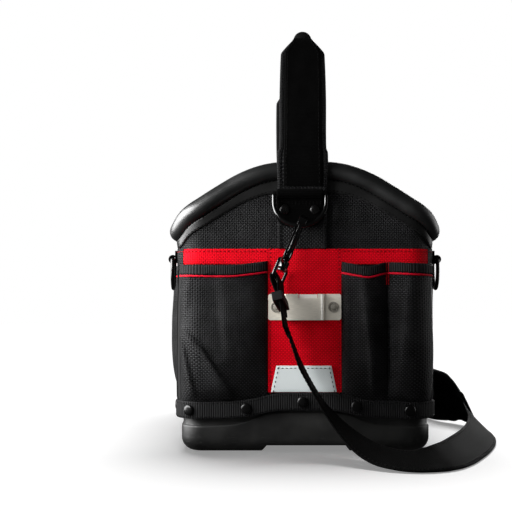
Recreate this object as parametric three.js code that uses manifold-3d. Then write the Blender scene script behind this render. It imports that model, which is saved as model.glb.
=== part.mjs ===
// An open top tool tote: a fabric wall on a moulded base, a padded rim, a carrying handle
// over the long way, and a shoulder strap clipped to a D-ring at each short end.
// Millimetres. X runs across a short end, Y along the tote, away from the near end, Z up.
// The origin is the middle of the base's underside.
import * as THREE from 'three';
import { mergeVertices } from 'three/addons/utils/BufferGeometryUtils.js';
import Module from 'manifold-3d';

const wasm = await Module();
wasm.setup();

// Fabric body
const bodyWidth = 267.2;
const bodyLength = 380;
const cornerRadius = 26;
const wallThickness = 2.4;
const fitGap = 0.3;

// Moulded base
const baseHeight = 64;
const baseWall = 4;
const baseFloorTop = 12;
const footFillet = 14;
const footProud = 1.8;
const footRidgeLow = 27;
const footRidgeHigh = 41;
const ridgeStep = 1;
const footTopRise = 3;
const footTopStep = 2;
const archHeight = 8;
const archDepth = 50;
const archSlope = 0.6;
const archReach = 5;
const endArchWidth = 90;
const sideArchWidth = 220;

// Rim: a padded tube that climbs over each short end, a little above the bar of its D-ring
const ringBarHeight = 268;
const rimAboveBar = 26;
const rimHumpHeight = ringBarHeight + rimAboveBar;
const rimRadius = 10;
const rimOffset = 0.4;
const rimSideHeight = 230;
const humpLean = 8;
const bindingHeight = 8.2;
const bindingHumpExtra = 4.8;
const bindingThickness = 1.5;
const bindingFlare = 1.5;

// Strip of webbing over the foot of the fabric, and its rivets
const trimHeight = 18;
const trimThickness = 3;
const trimTaper = 0.8;
const wallLap = 2;
const trimLow = 44;
const trimHigh = 53;
const rivetDiameter = 11.5;
const rivetRise = 4;

// Red band, centre panel and reflective patch
const panelTop = 211;
const panelBottom = 62.5;
const panelWidth = 76;
const panelShift = -1.6;
const panelThickness = 1.8;
const bandHeight = 16;
const patchHeight = 27;
const patchTopWidth = 57;
const patchBottomWidth = 68;
const patchThickness = 0.9;

// Pockets
const pocketTop = 194.5;
const pocketThickness = 2;
const pocketReach = 129;
const pocketDepth = 14;
const pocketDivider = 84;
const pocketBindingHeight = 10;
const pocketBindingThickness = 1.4;
const sidePocketReach = 128;
const sidePocketDepth = 12;

// Clip for a tape measure
const clipHeight = 27;
const clipBelowBar = 117.5;
const clipMiddle = ringBarHeight - clipBelowBar;
const clipWidth = 75.6;
const clipRaisedWidth = 41;
const clipStandOff = 5.4;
const clipThickness = 1.5;
const clipNotchWidth = 20;
const clipNotchDepth = 4;
const clipNotchShift = 3;
const clipKneeOut = 1;
const clipKneeIn = 2;
const clipRivetRise = 2.4;

// Carrying handle
const gripHeight = 447.5;
const gripRadius = 10;
const gripSetBack = 66;
const gripLap = 1.9;
const strapUnderGrip = 7;
const webbingWidth = 39;
const webbingThickness = 2.2;
const backingWidth = 50;
const backingThickness = 3;
const flatUnderBar = 18;
const webbingAboveTab = 3;
const handleShift = -3.5;

// D-ring on each short end
const ringWidth = 54;
const ringDrop = 35;
const ringShoulder = 0.28;
const ringWire = 4.5;
const ringTilt = 13;
const ringShift = -6.7;
const tabWidth = 48;
const tabDrop = 34;
const tabThickness = 2.2;
const tabRound = 12;
const tabRivetAside = 15.7;
const tabRivetBelow = 16.5;
const tabRivetDiameter = 10;
const tabRivetRise = 2.8;
const ringClearance = 0.4;

// Small ring on each long side, near the front corner
const sideRingWidth = 28;
const sideRingDrop = 31;
const sideRingWire = 4;
const sideRingBarHeight = 201;
const sideRingFromEnd = 33;
const sideLoopWidth = 22;

// Snap hooks
const hookEyeRadius = 7.8;
const hookBar = 4.2;
const hookThickness = 8.5;
const hookShank = 35;
const hookShoulder = 8;
const neckRadius = 3;
const neckLength = 10;
const gateThickness = 3.6;
const gateBar = 3.2;
const pinRadius = 1.5;
const pinClearance = 0.35;
const bailWidth = 46;
const bailDrop = 18;
const bailWire = 4;
const bossRadius = 5.6;
const hookOnRing = 3.2;
const hookPlay = 1.9;

// Shoulder strap
const strapWidth = 38;
const strapThickness = 2;
const floorGap = 0.5;
const foldTail = 28;
const padWidth = 62;
const padThickness = 7;
const sliderLength = 9;
const sliderWall = 2;

const halfWidth = bodyWidth / 2;
const halfLength = bodyLength / 2;
const endFlat = halfWidth - cornerRadius;
const sideFlat = halfLength - cornerRadius;
const cornerArc = (cornerRadius * Math.PI) / 2;
const perimeter = 4 * (endFlat + sideFlat + cornerArc);
const sideRingPlace = halfLength - sideRingFromEnd;
const up = new THREE.Vector3(0, 0, 1);

const tote = new THREE.Group();
const toteBody = new THREE.Group();
tote.add(toteBody);

const finish = {
  ballistic: { color: 0x17171a, roughness: 0.85, metalness: 0 },
  red: { color: 0xc8102a, roughness: 0.8, metalness: 0 },
  vinyl: { color: 0x1b1b1c, roughness: 0.4, metalness: 0 },
  webbing: { color: 0x121213, roughness: 0.8, metalness: 0 },
  moulded: { color: 0x222325, roughness: 0.55, metalness: 0 },
  blackMetal: { color: 0x1c1c1d, roughness: 0.35, metalness: 0.8 },
  steel: { color: 0xb4afa6, roughness: 0.35, metalness: 1 },
  reflective: { color: 0xc4c8c6, roughness: 0.4, metalness: 0.1 },
  grip: { color: 0x101011, roughness: 0.7, metalness: 0 },
};

function addPiece(name, geometry, finishName, parent = toteBody) {
  const mesh = new THREE.Mesh(geometry, new THREE.MeshStandardMaterial(finish[finishName]));
  mesh.name = name;
  parent.add(mesh);
  return mesh;
}

// Reads one column of a table of rows at a share, smoothly through the rows.
function readRows(rows, column, at) {
  const last = rows.length - 1;
  if (at <= rows[0].at) return rows[0][column];
  if (at >= rows[last].at) return rows[last][column];
  let k = 0;
  while (rows[k + 1].at < at) k += 1;
  const slope = (i) => {
    const a = rows[Math.max(i - 1, 0)];
    const b = rows[Math.min(i + 1, last)];
    return (b[column] - a[column]) / (b.at - a.at);
  };
  const span = rows[k + 1].at - rows[k].at;
  const t = (at - rows[k].at) / span;
  const rise = rows[k + 1][column] - rows[k][column];
  const startBend = slope(k) * span - rise;
  const endBend = rise - slope(k + 1) * span;
  return rows[k][column] + t * rise + t * (1 - t) * ((1 - t) * startBend + t * endBend);
}

function clamp(value, low, high) {
  return Math.min(Math.max(value, low), high);
}

// The plan outline of the fabric's outer face, from the middle of the near end towards +X
// and once round: straight runs and corner arcs.
const outlineRuns = [
  { kind: 'line', x: 0, y: -halfLength, turn: -90, length: endFlat, steps: 7 },
  { kind: 'arc', x: endFlat, y: -sideFlat, turn: -90, length: cornerArc, steps: 4 },
  { kind: 'line', x: halfWidth, y: -sideFlat, turn: 0, length: 2 * sideFlat, steps: 8 },
  { kind: 'arc', x: endFlat, y: sideFlat, turn: 0, length: cornerArc, steps: 4 },
  { kind: 'line', x: endFlat, y: halfLength, turn: 90, length: 2 * endFlat, steps: 14 },
  { kind: 'arc', x: -endFlat, y: sideFlat, turn: 90, length: cornerArc, steps: 4 },
  { kind: 'line', x: -halfWidth, y: sideFlat, turn: 180, length: 2 * sideFlat, steps: 8 },
  { kind: 'arc', x: -endFlat, y: -sideFlat, turn: 180, length: cornerArc, steps: 4 },
  { kind: 'line', x: -endFlat, y: -halfLength, turn: 270, length: endFlat, steps: 7 },
];

// Corner columns of the outline, each with its place along the way round.
const ringSteps = [];
{
  let start = 0;
  for (const run of outlineRuns) {
    for (let i = 0; i < run.steps; i += 1) ringSteps.push(start + (run.length * i) / run.steps);
    start += run.length;
  }
}

function wrap(along) {
  return ((along % perimeter) + perimeter) % perimeter;
}

// One point of the outline: place, outward normal, and how far out towards the corner it is
// on its own side, 0 at the middle and 1 at the corner.
function outlinePoint(along) {
  let rest = wrap(along);
  let run = outlineRuns[outlineRuns.length - 1];
  for (const candidate of outlineRuns) {
    if (rest <= candidate.length) {
      run = candidate;
      break;
    }
    rest -= candidate.length;
  }
  rest = Math.min(rest, run.length);
  const sweepAngle = run.kind === 'arc' ? (rest / run.length) * 90 : 0;
  const angle = THREE.MathUtils.degToRad(run.turn + sweepAngle);
  const nx = Math.cos(angle);
  const ny = Math.sin(angle);
  if (run.kind === 'arc') {
    return { x: run.x + cornerRadius * nx, y: run.y + cornerRadius * ny, nx, ny, share: 1 };
  }
  const x = run.x - ny * rest;
  const y = run.y + nx * rest;
  const share = Math.abs(ny) > 0.5 ? Math.abs(x) / halfWidth : Math.abs(y) / halfLength;
  return { x, y, nx, ny, share };
}

// How far the end walls lean in at a height.
function leanAt(z) {
  const start = rimSideHeight - rimRadius;
  const share = clamp((z - start) / (rimHumpHeight - start), 0, 1.2);
  return humpLean * share ** 1.5;
}

function placeOnRing(along, z, offset) {
  const p = outlinePoint(along);
  const y = p.y + p.ny * offset;
  return new THREE.Vector3(p.x + p.nx * offset, y * (1 - leanAt(z) / halfLength), z);
}

// The corner columns on either side of a place along the outline.
function columnsAround(along) {
  const s = wrap(along);
  let k = ringSteps.length - 1;
  while (k > 0 && ringSteps[k] > s) k -= 1;
  const from = ringSteps[k];
  const to = k + 1 < ringSteps.length ? ringSteps[k + 1] : perimeter;
  return { from, to, share: (s - from) / (to - from) };
}

// The same, on the flats between the corner columns, as the faceted wall has it.
function place(along, z, offset) {
  const { from, to, share } = columnsAround(along);
  return placeOnRing(from, z, offset).lerp(placeOnRing(to, z, offset), share);
}

// Columns from one place along the outline to another: every corner column between them,
// and even ones no further apart than the given step.
function stepsBetween(from, to, step) {
  const list = new Set([from, to]);
  const turns = [-perimeter, 0, perimeter];
  for (const s of ringSteps) {
    for (const turn of turns) {
      if (s + turn > from + 1 && s + turn < to - 1) list.add(s + turn);
    }
  }
  const count = Math.ceil((to - from) / step);
  for (let i = 1; i < count; i += 1) {
    const s = from + ((to - from) * i) / count;
    if ([...list].every((other) => Math.abs(other - s) > step / 3)) list.add(s);
  }
  return [...list].sort((a, b) => a - b);
}

function solidFrom(points, faces) {
  const geometry = new THREE.BufferGeometry();
  const flat = points.flatMap((p) => [p.x, p.y, p.z]);
  let volume = 0;
  for (const [a, b, c] of faces) {
    volume += points[a].dot(new THREE.Vector3().crossVectors(points[b], points[c]));
  }
  const ordered = volume < 0 ? faces.map(([a, b, c]) => [a, c, b]) : faces;
  geometry.setAttribute('position', new THREE.Float32BufferAttribute(flat, 3));
  geometry.setIndex(ordered.flat());
  geometry.computeVertexNormals();
  return geometry;
}

// A closed body through a row of sections. A round one joins its last section to its first,
// an open one is capped, each cap joining a section's corners to those across it.
function sweep(sections, round) {
  const size = sections[0].length;
  const points = sections.flat();
  const faces = [];
  const last = round ? sections.length : sections.length - 1;
  for (let i = 0; i < last; i += 1) {
    const a = i * size;
    const b = ((i + 1) % sections.length) * size;
    for (let j = 0; j < size; j += 1) {
      const k = (j + 1) % size;
      faces.push([a + j, b + j, b + k], [a + j, b + k, a + k]);
    }
  }
  if (!round) {
    const end = (sections.length - 1) * size;
    for (let j = 0; j < size / 2 - 1; j += 1) {
      const far = size - 1 - j;
      faces.push([j, j + 1, far - 1], [j, far - 1, far]);
      faces.push([end + j, end + far - 1, end + j + 1], [end + j, end + far, end + far - 1]);
    }
  }
  return solidFrom(points, faces);
}

// A thin plate that follows the wall: its outer skin and its inner skin, column by column.
function plate(steps, rows, skin, thickness) {
  const sections = steps.map((along) => {
    const outer = rows.map((v) => skin(along, v, thickness));
    const inner = rows.map((v) => skin(along, v, 0));
    return [...outer, ...inner.reverse()];
  });
  return sweep(sections, false);
}

function toSolid(geometry) {
  const bare = geometry.clone();
  bare.deleteAttribute('normal');
  bare.deleteAttribute('uv');
  const merged = mergeVertices(bare, 1e-4);
  return new wasm.Manifold(
    new wasm.Mesh({
      numProp: 3,
      vertProperties: new Float32Array(merged.attributes.position.array),
      triVerts: new Uint32Array(merged.index.array),
    }),
  );
}

function fromSolid(solid) {
  const mesh = solid.getMesh();
  const geometry = new THREE.BufferGeometry();
  const position = new THREE.BufferAttribute(new Float32Array(mesh.vertProperties), 3);
  geometry.setAttribute('position', position);
  geometry.setIndex(new THREE.BufferAttribute(new Uint32Array(mesh.triVerts), 1));
  geometry.computeVertexNormals();
  return geometry;
}

function boxSolid(low, high) {
  const size = new THREE.Vector3().subVectors(high, low);
  const middle = new THREE.Vector3().addVectors(low, high).multiplyScalar(0.5);
  const box = new THREE.BoxGeometry(size.x, size.y, size.z);
  return toSolid(box.translate(middle.x, middle.y, middle.z));
}

// A shape drawn on a plane, given a thickness both ways from it.
function slab(shape, thickness, xAxis, yAxis, origin, curveSegments = 6) {
  const geometry = new THREE.ExtrudeGeometry(shape, {
    depth: thickness,
    bevelEnabled: false,
    curveSegments,
  });
  const zAxis = new THREE.Vector3().crossVectors(xAxis, yAxis);
  geometry.translate(0, 0, -thickness / 2);
  const frame = new THREE.Matrix4().makeBasis(xAxis, yAxis, zAxis);
  return geometry.applyMatrix4(frame.setPosition(origin));
}

// Round wire along a flat closed path.
function wireLoop(path, radius, sides, planeNormal) {
  const sections = path.map((p, i) => {
    const before = path[(i + path.length - 1) % path.length];
    const after = path[(i + 1) % path.length];
    const tangent = new THREE.Vector3().subVectors(after, before).normalize();
    const side = new THREE.Vector3().crossVectors(planeNormal, tangent);
    return Array.from({ length: sides }, (_, j) => {
      const angle = (2 * Math.PI * (j + 0.5)) / sides;
      return p
        .clone()
        .addScaledVector(side, radius * Math.cos(angle))
        .addScaledVector(planeNormal, radius * Math.sin(angle));
    });
  });
  return sweep(sections, true);
}

// A domed rivet head whose flat side lies just off a surface.
function rivetHead(diameter, rise) {
  const rows = [
    { across: 0, up: 0 },
    { across: 1, up: 0 },
    { across: 0.8, up: 0.72 },
    { across: 0, up: 1 },
  ];
  const profile = rows.map((row) => new THREE.Vector2((row.across * diameter) / 2, row.up * rise));
  return new THREE.LatheGeometry(profile, 8);
}

function addRivet(name, point, outward, diameter, rise, finishName = 'blackMetal') {
  const rivet = addPiece(name, rivetHead(diameter, rise), finishName);
  rivet.position.copy(point);
  rivet.quaternion.setFromUnitVectors(new THREE.Vector3(0, 1, 0), outward);
}

// Share of the way from the hump's height down to the sides', by the share across the end.
const humpRows = [
  { at: 0, drop: 0 },
  { at: 0.23, drop: 0.025 },
  { at: 0.37, drop: 0.09 },
  { at: 0.51, drop: 0.215 },
  { at: 0.65, drop: 0.39 },
  { at: 0.79, drop: 0.58 },
  { at: 0.925, drop: 0.78 },
  { at: 1, drop: 1 },
];

// Share across a short end, which goes on to 1 round the corner and stays there along a side.
function acrossEnd(along) {
  const p = outlinePoint(along);
  return Math.abs(p.ny) > 1e-6 ? Math.abs(p.x) / halfWidth : 1;
}

// Height of the rim tube's middle along the outline.
function rimHeight(along) {
  const drop = readRows(humpRows, 'drop', acrossEnd(along));
  return rimHumpHeight + (rimSideHeight - rimHumpHeight) * drop;
}

// Height at which the wall ends, just under the tube.
function wallTop(along) {
  const reach = 2;
  const climb = (rimHeight(along + reach) - rimHeight(along - reach)) / (2 * reach);
  return rimHeight(along) - (rimRadius + fitGap) * Math.hypot(1, climb);
}

// Wave of the bottom trim, and of the ridge on the base, by the share across a side.
const waveRows = [
  { at: 0, trim: 1, ridge: 1 },
  { at: 0.22, trim: 0.92, ridge: 1 },
  { at: 0.33, trim: 0.62, ridge: 0.86 },
  { at: 0.46, trim: 0.24, ridge: 0.36 },
  { at: 0.62, trim: 0.06, ridge: 0.08 },
  { at: 1, trim: 0, ridge: 0 },
];

function wave(along, column) {
  return readRows(waveRows, column, outlinePoint(along).share);
}

function trimMiddle(along) {
  return trimLow + (trimHigh - trimLow) * wave(along, 'trim');
}

function ridgeHeight(along) {
  return footRidgeLow + (footRidgeHigh - footRidgeLow) * wave(along, 'ridge');
}

function wallFoot(along) {
  return trimMiddle(along) - trimHeight / 2 + wallLap;
}

// Top edge of the trim, straight between the corner columns as the strip has it.
function trimTop(along) {
  const { from, to, share } = columnsAround(along);
  const middle = trimMiddle(from) + (trimMiddle(to) - trimMiddle(from)) * share;
  return middle + trimHeight / 2;
}

function addBase() {
  const seat = -wallThickness - fitGap;
  const foot = seat - fitGap;
  const rows = [
    { z: () => 0, offset: foot - footFillet },
    { z: () => footFillet * 0.13, offset: foot - footFillet * 0.5 },
    { z: () => footFillet * 0.5, offset: foot - footFillet * 0.13 },
    { z: () => footFillet, offset: foot },
    { z: (along) => ridgeHeight(along) - ridgeStep, offset: foot },
    { z: (along) => ridgeHeight(along) + ridgeStep, offset: foot - footProud },
    { z: () => footRidgeHigh + footTopRise, offset: foot - footProud },
    { z: () => footRidgeHigh + footTopRise + footTopStep, offset: seat },
    { z: () => baseHeight, offset: seat },
  ];
  const outside = rows.map((row) =>
    ringSteps.map((along) => placeOnRing(along, row.z(along), row.offset)),
  );
  const inset = seat - baseWall;
  const hollow = [baseFloorTop, baseHeight + 1].map((z) =>
    ringSteps.map((along) => placeOnRing(along, z, inset)),
  );
  let solid = toSolid(sweep(outside, false)).subtract(toSolid(sweep(hollow, false)));
  const arches = [
    { width: endArchWidth, reach: halfLength, turn: 0 },
    { width: endArchWidth, reach: halfLength, turn: 180 },
    { width: sideArchWidth, reach: halfWidth, turn: 90 },
    { width: sideArchWidth, reach: halfWidth, turn: 270 },
  ];
  for (const arch of arches) {
    const shape = new THREE.Shape();
    const half = arch.width / 2;
    shape.moveTo(-half - 2, -1);
    shape.lineTo(half + 2, -1);
    shape.lineTo(half - archHeight * archSlope, archHeight);
    shape.lineTo(-half + archHeight * archSlope, archHeight);
    shape.closePath();
    const angle = THREE.MathUtils.degToRad(arch.turn);
    const across = new THREE.Vector3(Math.cos(angle), Math.sin(angle), 0);
    const middle = new THREE.Vector3(Math.sin(angle), -Math.cos(angle), 0);
    middle.multiplyScalar(arch.reach - archDepth / 2 + archReach);
    solid = solid.subtract(toSolid(slab(shape, archDepth + 2 * archReach, across, up, middle)));
  }
  addPiece('base_tray', fromSolid(solid), 'moulded');
}

function addShell() {
  const bend = rimSideHeight - rimRadius - wallLap;
  const shares = [0, 0.36, 0.7, 1];
  const sections = ringSteps.map((along) => {
    const top = wallTop(along);
    const heights = [wallFoot(along), ...shares.map((share) => bend + (top - bend) * share)];
    const outer = heights.map((z) => placeOnRing(along, z, 0));
    const inner = heights.map((z) => placeOnRing(along, z, -wallThickness));
    return [...outer, ...inner.reverse()];
  });
  addPiece('body_shell', sweep(sections, true), 'ballistic');
}

function addRim() {
  const sides = 8;
  const path = ringSteps.map((along) => placeOnRing(along, rimHeight(along), rimOffset));
  const sections = path.map((p, i) => {
    const before = path[(i + path.length - 1) % path.length];
    const after = path[(i + 1) % path.length];
    const tangent = new THREE.Vector3().subVectors(after, before).normalize();
    const outward = new THREE.Vector3().crossVectors(tangent, up).normalize();
    const above = new THREE.Vector3().crossVectors(outward, tangent);
    return Array.from({ length: sides }, (_, j) => {
      const angle = (2 * Math.PI * j) / sides + Math.PI / 2;
      return p
        .clone()
        .addScaledVector(outward, rimRadius * Math.cos(angle))
        .addScaledVector(above, rimRadius * Math.sin(angle));
    });
  });
  addPiece('rim_tube', sweep(sections, true), 'vinyl');

  const strip = ringSteps.map((along) => {
    const top = wallTop(along);
    const low = top - bindingHeight - bindingHumpExtra * (1 - acrossEnd(along));
    return [
      placeOnRing(along, low, fitGap + bindingThickness),
      placeOnRing(along, top, fitGap + bindingThickness + bindingFlare),
      placeOnRing(along, top, fitGap),
      placeOnRing(along, low, fitGap),
    ];
  });
  addPiece('rim_binding', sweep(strip, true), 'vinyl');
}

function addTrim() {
  const sections = ringSteps.map((along) => {
    const low = trimMiddle(along) - trimHeight / 2;
    const high = trimTop(along);
    return [
      placeOnRing(along, low, fitGap + trimThickness),
      placeOnRing(along, high, fitGap + trimThickness - trimTaper),
      placeOnRing(along, high, fitGap),
      placeOnRing(along, low, fitGap),
    ];
  });
  addPiece('bottom_trim', sweep(sections, true), 'webbing');
}

// Rivets of the trim, by the share across the end.
const rivetRows = [
  { name: '1', share: -0.9 },
  { name: '2', share: -0.465 },
  { name: '3', share: -0.03 },
  { name: '4', share: 0.385 },
  { name: '5', share: 0.8 },
];

function addTrimRivets() {
  const ends = [
    { name: 'near', middle: 0 },
    { name: 'far', middle: perimeter / 2 },
  ];
  for (const end of ends) {
    for (const row of rivetRows) {
      const along = end.middle + row.share * halfWidth;
      const z = trimMiddle(along);
      const seat = place(along, z, 2 * fitGap + trimThickness - 0.1);
      const p = outlinePoint(along);
      const outward = new THREE.Vector3(p.nx, p.ny, 0);
      addRivet(`rivet_${end.name}_${row.name}`, seat, outward, rivetDiameter, rivetRise);
    }
  }
}

const panelLeft = panelShift - panelWidth / 2;
const panelRight = panelShift + panelWidth / 2;

function flatPlate(steps, low, high, offset, thickness) {
  const skin = (along, v, out) => place(along, low + (high - low) * v, offset + out);
  return plate(steps, [0, 1], skin, thickness);
}

function addPanels() {
  const offset = fitGap;
  const far = perimeter / 2;
  const near = stepsBetween(panelLeft, panelRight, 40);
  const away = stepsBetween(far - panelRight, far - panelLeft, 40);
  const centre = flatPlate(near, panelBottom, panelTop, offset, panelThickness);
  addPiece('centre_panel', centre, 'red');
  const centreFar = flatPlate(away, panelBottom, panelTop, offset, panelThickness);
  addPiece('centre_panel_far', centreFar, 'red');
  const low = panelTop - bandHeight;
  const gap = fitGap;
  const right = stepsBetween(panelRight + gap, far - panelRight - gap, 60);
  const left = stepsBetween(far - panelLeft + gap, perimeter + panelLeft - gap, 60);
  const thin = panelThickness - 0.3;
  addPiece('red_band_right', flatPlate(right, low, panelTop, offset, thin), 'red');
  addPiece('red_band_left', flatPlate(left, low, panelTop, offset, thin), 'red');

  const patch = new THREE.Shape();
  patch.moveTo(-patchBottomWidth / 2, 0);
  patch.lineTo(patchBottomWidth / 2, 0);
  patch.lineTo(patchTopWidth / 2, patchHeight);
  patch.lineTo(-patchTopWidth / 2, patchHeight);
  patch.closePath();
  const across = new THREE.Vector3(1, 0, 0);
  const out = fitGap + panelThickness + fitGap + patchThickness / 2;
  const middle = new THREE.Vector3(panelShift - 1, -halfLength - out, panelBottom + 0.5);
  const patchPlate = slab(patch, patchThickness, across, up, middle);
  addPiece('reflective_patch', patchPlate, 'reflective');
}

// How far a pocket stands off the wall up its height.
const pocketRise = [
  { at: 0, stand: 0.1 },
  { at: 0.1, stand: 0.62 },
  { at: 0.3, stand: 0.95 },
  { at: 0.6, stand: 1 },
  { at: 0.85, stand: 0.86 },
  { at: 1, stand: 0.8 },
];

// Folds of the near pockets: a ridge from a low point to a high point, in shares of the
// pocket's width from the panel and of its height, with its height out of the cloth in mm.
const foldRows = [
  { pocket: 'left', fromAcross: 0.36, fromUp: 0.02, toAcross: 0.95, toUp: 0.55, proud: 2.4 },
  { pocket: 'left', fromAcross: 0.8, fromUp: 0.02, toAcross: 0.94, toUp: 0.5, proud: 1.8 },
  { pocket: 'right', fromAcross: 0.32, fromUp: 0.02, toAcross: 0.24, toUp: 0.9, proud: 2.2 },
  { pocket: 'right', fromAcross: 0.58, fromUp: 0.02, toAcross: 0.7, toUp: 0.8, proud: 2.4 },
];

function foldHeight(pocket, across, upward) {
  let total = 0;
  for (const row of foldRows) {
    if (row.pocket !== pocket) continue;
    const dx = row.toAcross - row.fromAcross;
    const dz = row.toUp - row.fromUp;
    const t = ((across - row.fromAcross) * dx + (upward - row.fromUp) * dz) / (dx * dx + dz * dz);
    const near = clamp(t, 0, 1);
    const gapAcross = across - row.fromAcross - dx * near;
    const gapUp = upward - row.fromUp - dz * near;
    const away = Math.hypot(gapAcross, gapUp) / 0.075;
    total += row.proud * Math.exp(-away * away) * Math.sin(Math.PI * clamp(t, 0, 1)) ** 0.5;
  }
  return total;
}

// A pocket is a row of bays, each bulging between the seams that hold it to the wall.
function pocketSkin(pocket) {
  const { from, to, depth, seams, mirror, name } = pocket;
  return (along, v, out) => {
    const share = clamp((along - from) / (to - from), 0, 1);
    let bay = 0;
    while (bay < seams.length - 2 && share > seams[bay + 1]) bay += 1;
    const inBay = clamp((share - seams[bay]) / (seams[bay + 1] - seams[bay]), 0, 1);
    const bulge = Math.sin(Math.PI * inBay) ** 0.6;
    const low = trimTop(along) + fitGap;
    const z = low + (pocketTop - low) * v;
    const across = mirror ? 1 - share : share;
    const fold = bulge > 0.2 ? foldHeight(name, across, v) : 0;
    const stand = fitGap + depth * bulge * readRows(pocketRise, 'stand', v) + fold;
    return { z, stand, point: place(along, z, stand + out) };
  };
}

function pocketSteps(pocket, step) {
  const seams = pocket.seams.map((s) => pocket.from + s * (pocket.to - pocket.from));
  const list = new Set();
  for (let i = 0; i + 1 < seams.length; i += 1) {
    for (const s of stepsBetween(seams[i], seams[i + 1], step)) list.add(s);
  }
  return [...list].sort((a, b) => a - b);
}

const cornerReach = endFlat + (pocketReach - endFlat) * 1.12;
const nearGap = panelRight + 2 * fitGap;
const farMiddle = perimeter / 2;
const sideMiddle = perimeter / 4;
const dividerShare = (pocketDivider - nearGap) / (cornerReach - nearGap);
const pocketRows = [0, 0.1, 0.24, 0.42, 0.6, 0.8, 1];
const plainPocketRows = [0, 0.1, 0.3, 0.65, 1];

const pockets = {
  pocket_near_right: {
    name: 'right', from: nearGap, to: cornerReach, seams: [0, dividerShare, 1],
    depth: pocketDepth, mirror: false, rows: pocketRows, step: 9,
  },
  pocket_near_left: {
    name: 'left', from: -cornerReach, to: panelLeft - 2 * fitGap, seams: [0, 1],
    depth: pocketDepth, mirror: true, rows: pocketRows, step: 9,
  },
  pocket_far_right: {
    name: 'plain', from: farMiddle - cornerReach, to: farMiddle - nearGap, seams: [0, 1],
    depth: pocketDepth, mirror: false, rows: plainPocketRows, step: 14,
  },
  pocket_far_left: {
    name: 'plain', from: farMiddle - panelLeft + 2 * fitGap, to: farMiddle + cornerReach,
    seams: [0, 1], depth: pocketDepth, mirror: false, rows: plainPocketRows, step: 14,
  },
  pocket_side_right: {
    name: 'plain', from: sideMiddle - sidePocketReach, to: sideMiddle + sidePocketReach,
    seams: [0, 0.34, 0.66, 1], depth: sidePocketDepth, mirror: false, rows: plainPocketRows,
    step: 24,
  },
  pocket_side_left: {
    name: 'plain', from: 3 * sideMiddle - sidePocketReach, to: 3 * sideMiddle + sidePocketReach,
    seams: [0, 0.34, 0.66, 1], depth: sidePocketDepth, mirror: false, rows: plainPocketRows,
    step: 24,
  },
};

function addPockets() {
  for (const [node, pocket] of Object.entries(pockets)) {
    const skin = pocketSkin(pocket);
    const steps = pocketSteps(pocket, pocket.step);
    const cloth = (along, v, out) => skin(along, v, out).point;
    addPiece(node, plate(steps, pocket.rows, cloth, pocketThickness), 'ballistic');
    if (pocket.rows !== pocketRows) continue;
    const offset = pocketThickness + fitGap;
    const binding = (along, v, out) => {
      const edge = skin(along, 1, 0);
      const below = skin(along, pocketRows[pocketRows.length - 2], 0);
      const z = edge.z - pocketBindingHeight * (1 - v);
      const share = (edge.z - z) / (edge.z - below.z);
      const under = edge.stand + (below.stand - edge.stand) * share;
      return place(along, z, under + offset + out);
    };
    const strip = plate(steps, [0, 1], binding, pocketBindingThickness);
    addPiece(`${node}_binding`, strip, 'webbing');
  }
}

// Stamped clip: two tabs on the panel and a raised bridge between them.
function addTapeClip() {
  const seat = -halfLength - 2 * fitGap - panelThickness;
  const t = clipThickness;
  const half = clipWidth / 2;
  const raised = clipRaisedWidth / 2;
  const out = -clipStandOff;
  const outline = [
    [-half, 0], [-raised - clipKneeOut, 0], [-raised + clipKneeIn, out],
    [raised - clipKneeIn, out], [raised + clipKneeOut, 0], [half, 0],
    [half, -t], [raised + clipKneeIn, -t], [raised - clipKneeOut, out - t],
    [-raised + clipKneeOut, out - t], [-raised - clipKneeIn, -t], [-half, -t],
  ];
  const shape = new THREE.Shape(outline.map(([x, y]) => new THREE.Vector2(x, y)));
  const middle = new THREE.Vector3(panelShift, seat, clipMiddle);
  const xAxis = new THREE.Vector3(1, 0, 0);
  const yAxis = new THREE.Vector3(0, 1, 0);
  let solid = toSolid(slab(shape, clipHeight, xAxis, yAxis, middle));
  const top = clipMiddle + clipHeight / 2;
  const notchMiddle = panelShift + clipNotchShift;
  const notch = boxSolid(
    new THREE.Vector3(notchMiddle - clipNotchWidth / 2, seat + out - 5, top - clipNotchDepth),
    new THREE.Vector3(notchMiddle + clipNotchWidth / 2, seat + out + 2, top + 1),
  );
  solid = solid.subtract(notch);
  addPiece('tape_clip', fromSolid(solid), 'steel');

  const outward = new THREE.Vector3(0, -1, 0);
  const reach = (clipRaisedWidth / 2 + clipWidth / 2) / 2 + 0.5;
  const tabs = { left: -reach, right: reach };
  for (const [side, x] of Object.entries(tabs)) {
    const seatPoint = new THREE.Vector3(panelShift + x, seat - t - fitGap, clipMiddle);
    const diameter = rivetDiameter - 0.5;
    addRivet(`clip_rivet_${side}`, seatPoint, outward, diameter, clipRivetRise, 'steel');
  }
}

// Sections of flat webbing along a path: across it by its width, through it by its thickness.
function bandSections(stations) {
  return stations.map((station, i) => {
    if (station.face) return station;
    const before = stations[Math.max(i - 1, 0)].point;
    const after = stations[Math.min(i + 1, stations.length - 1)].point;
    const tangent = new THREE.Vector3().subVectors(after, before).normalize();
    const across = station.across.clone();
    across.addScaledVector(tangent, -across.dot(tangent)).normalize();
    const face = new THREE.Vector3().crossVectors(tangent, across);
    return { ...station, tangent, across, face };
  });
}

function band(stations) {
  const sections = bandSections(stations).map(({ point, across, face, width, from, to }) => {
    const corner = (side, out) =>
      point.clone().addScaledVector(across, (side * width) / 2).addScaledVector(face, out);
    return [corner(-1, from), corner(1, from), corner(1, to), corner(-1, to)];
  });
  return sweep(sections, false);
}

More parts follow.
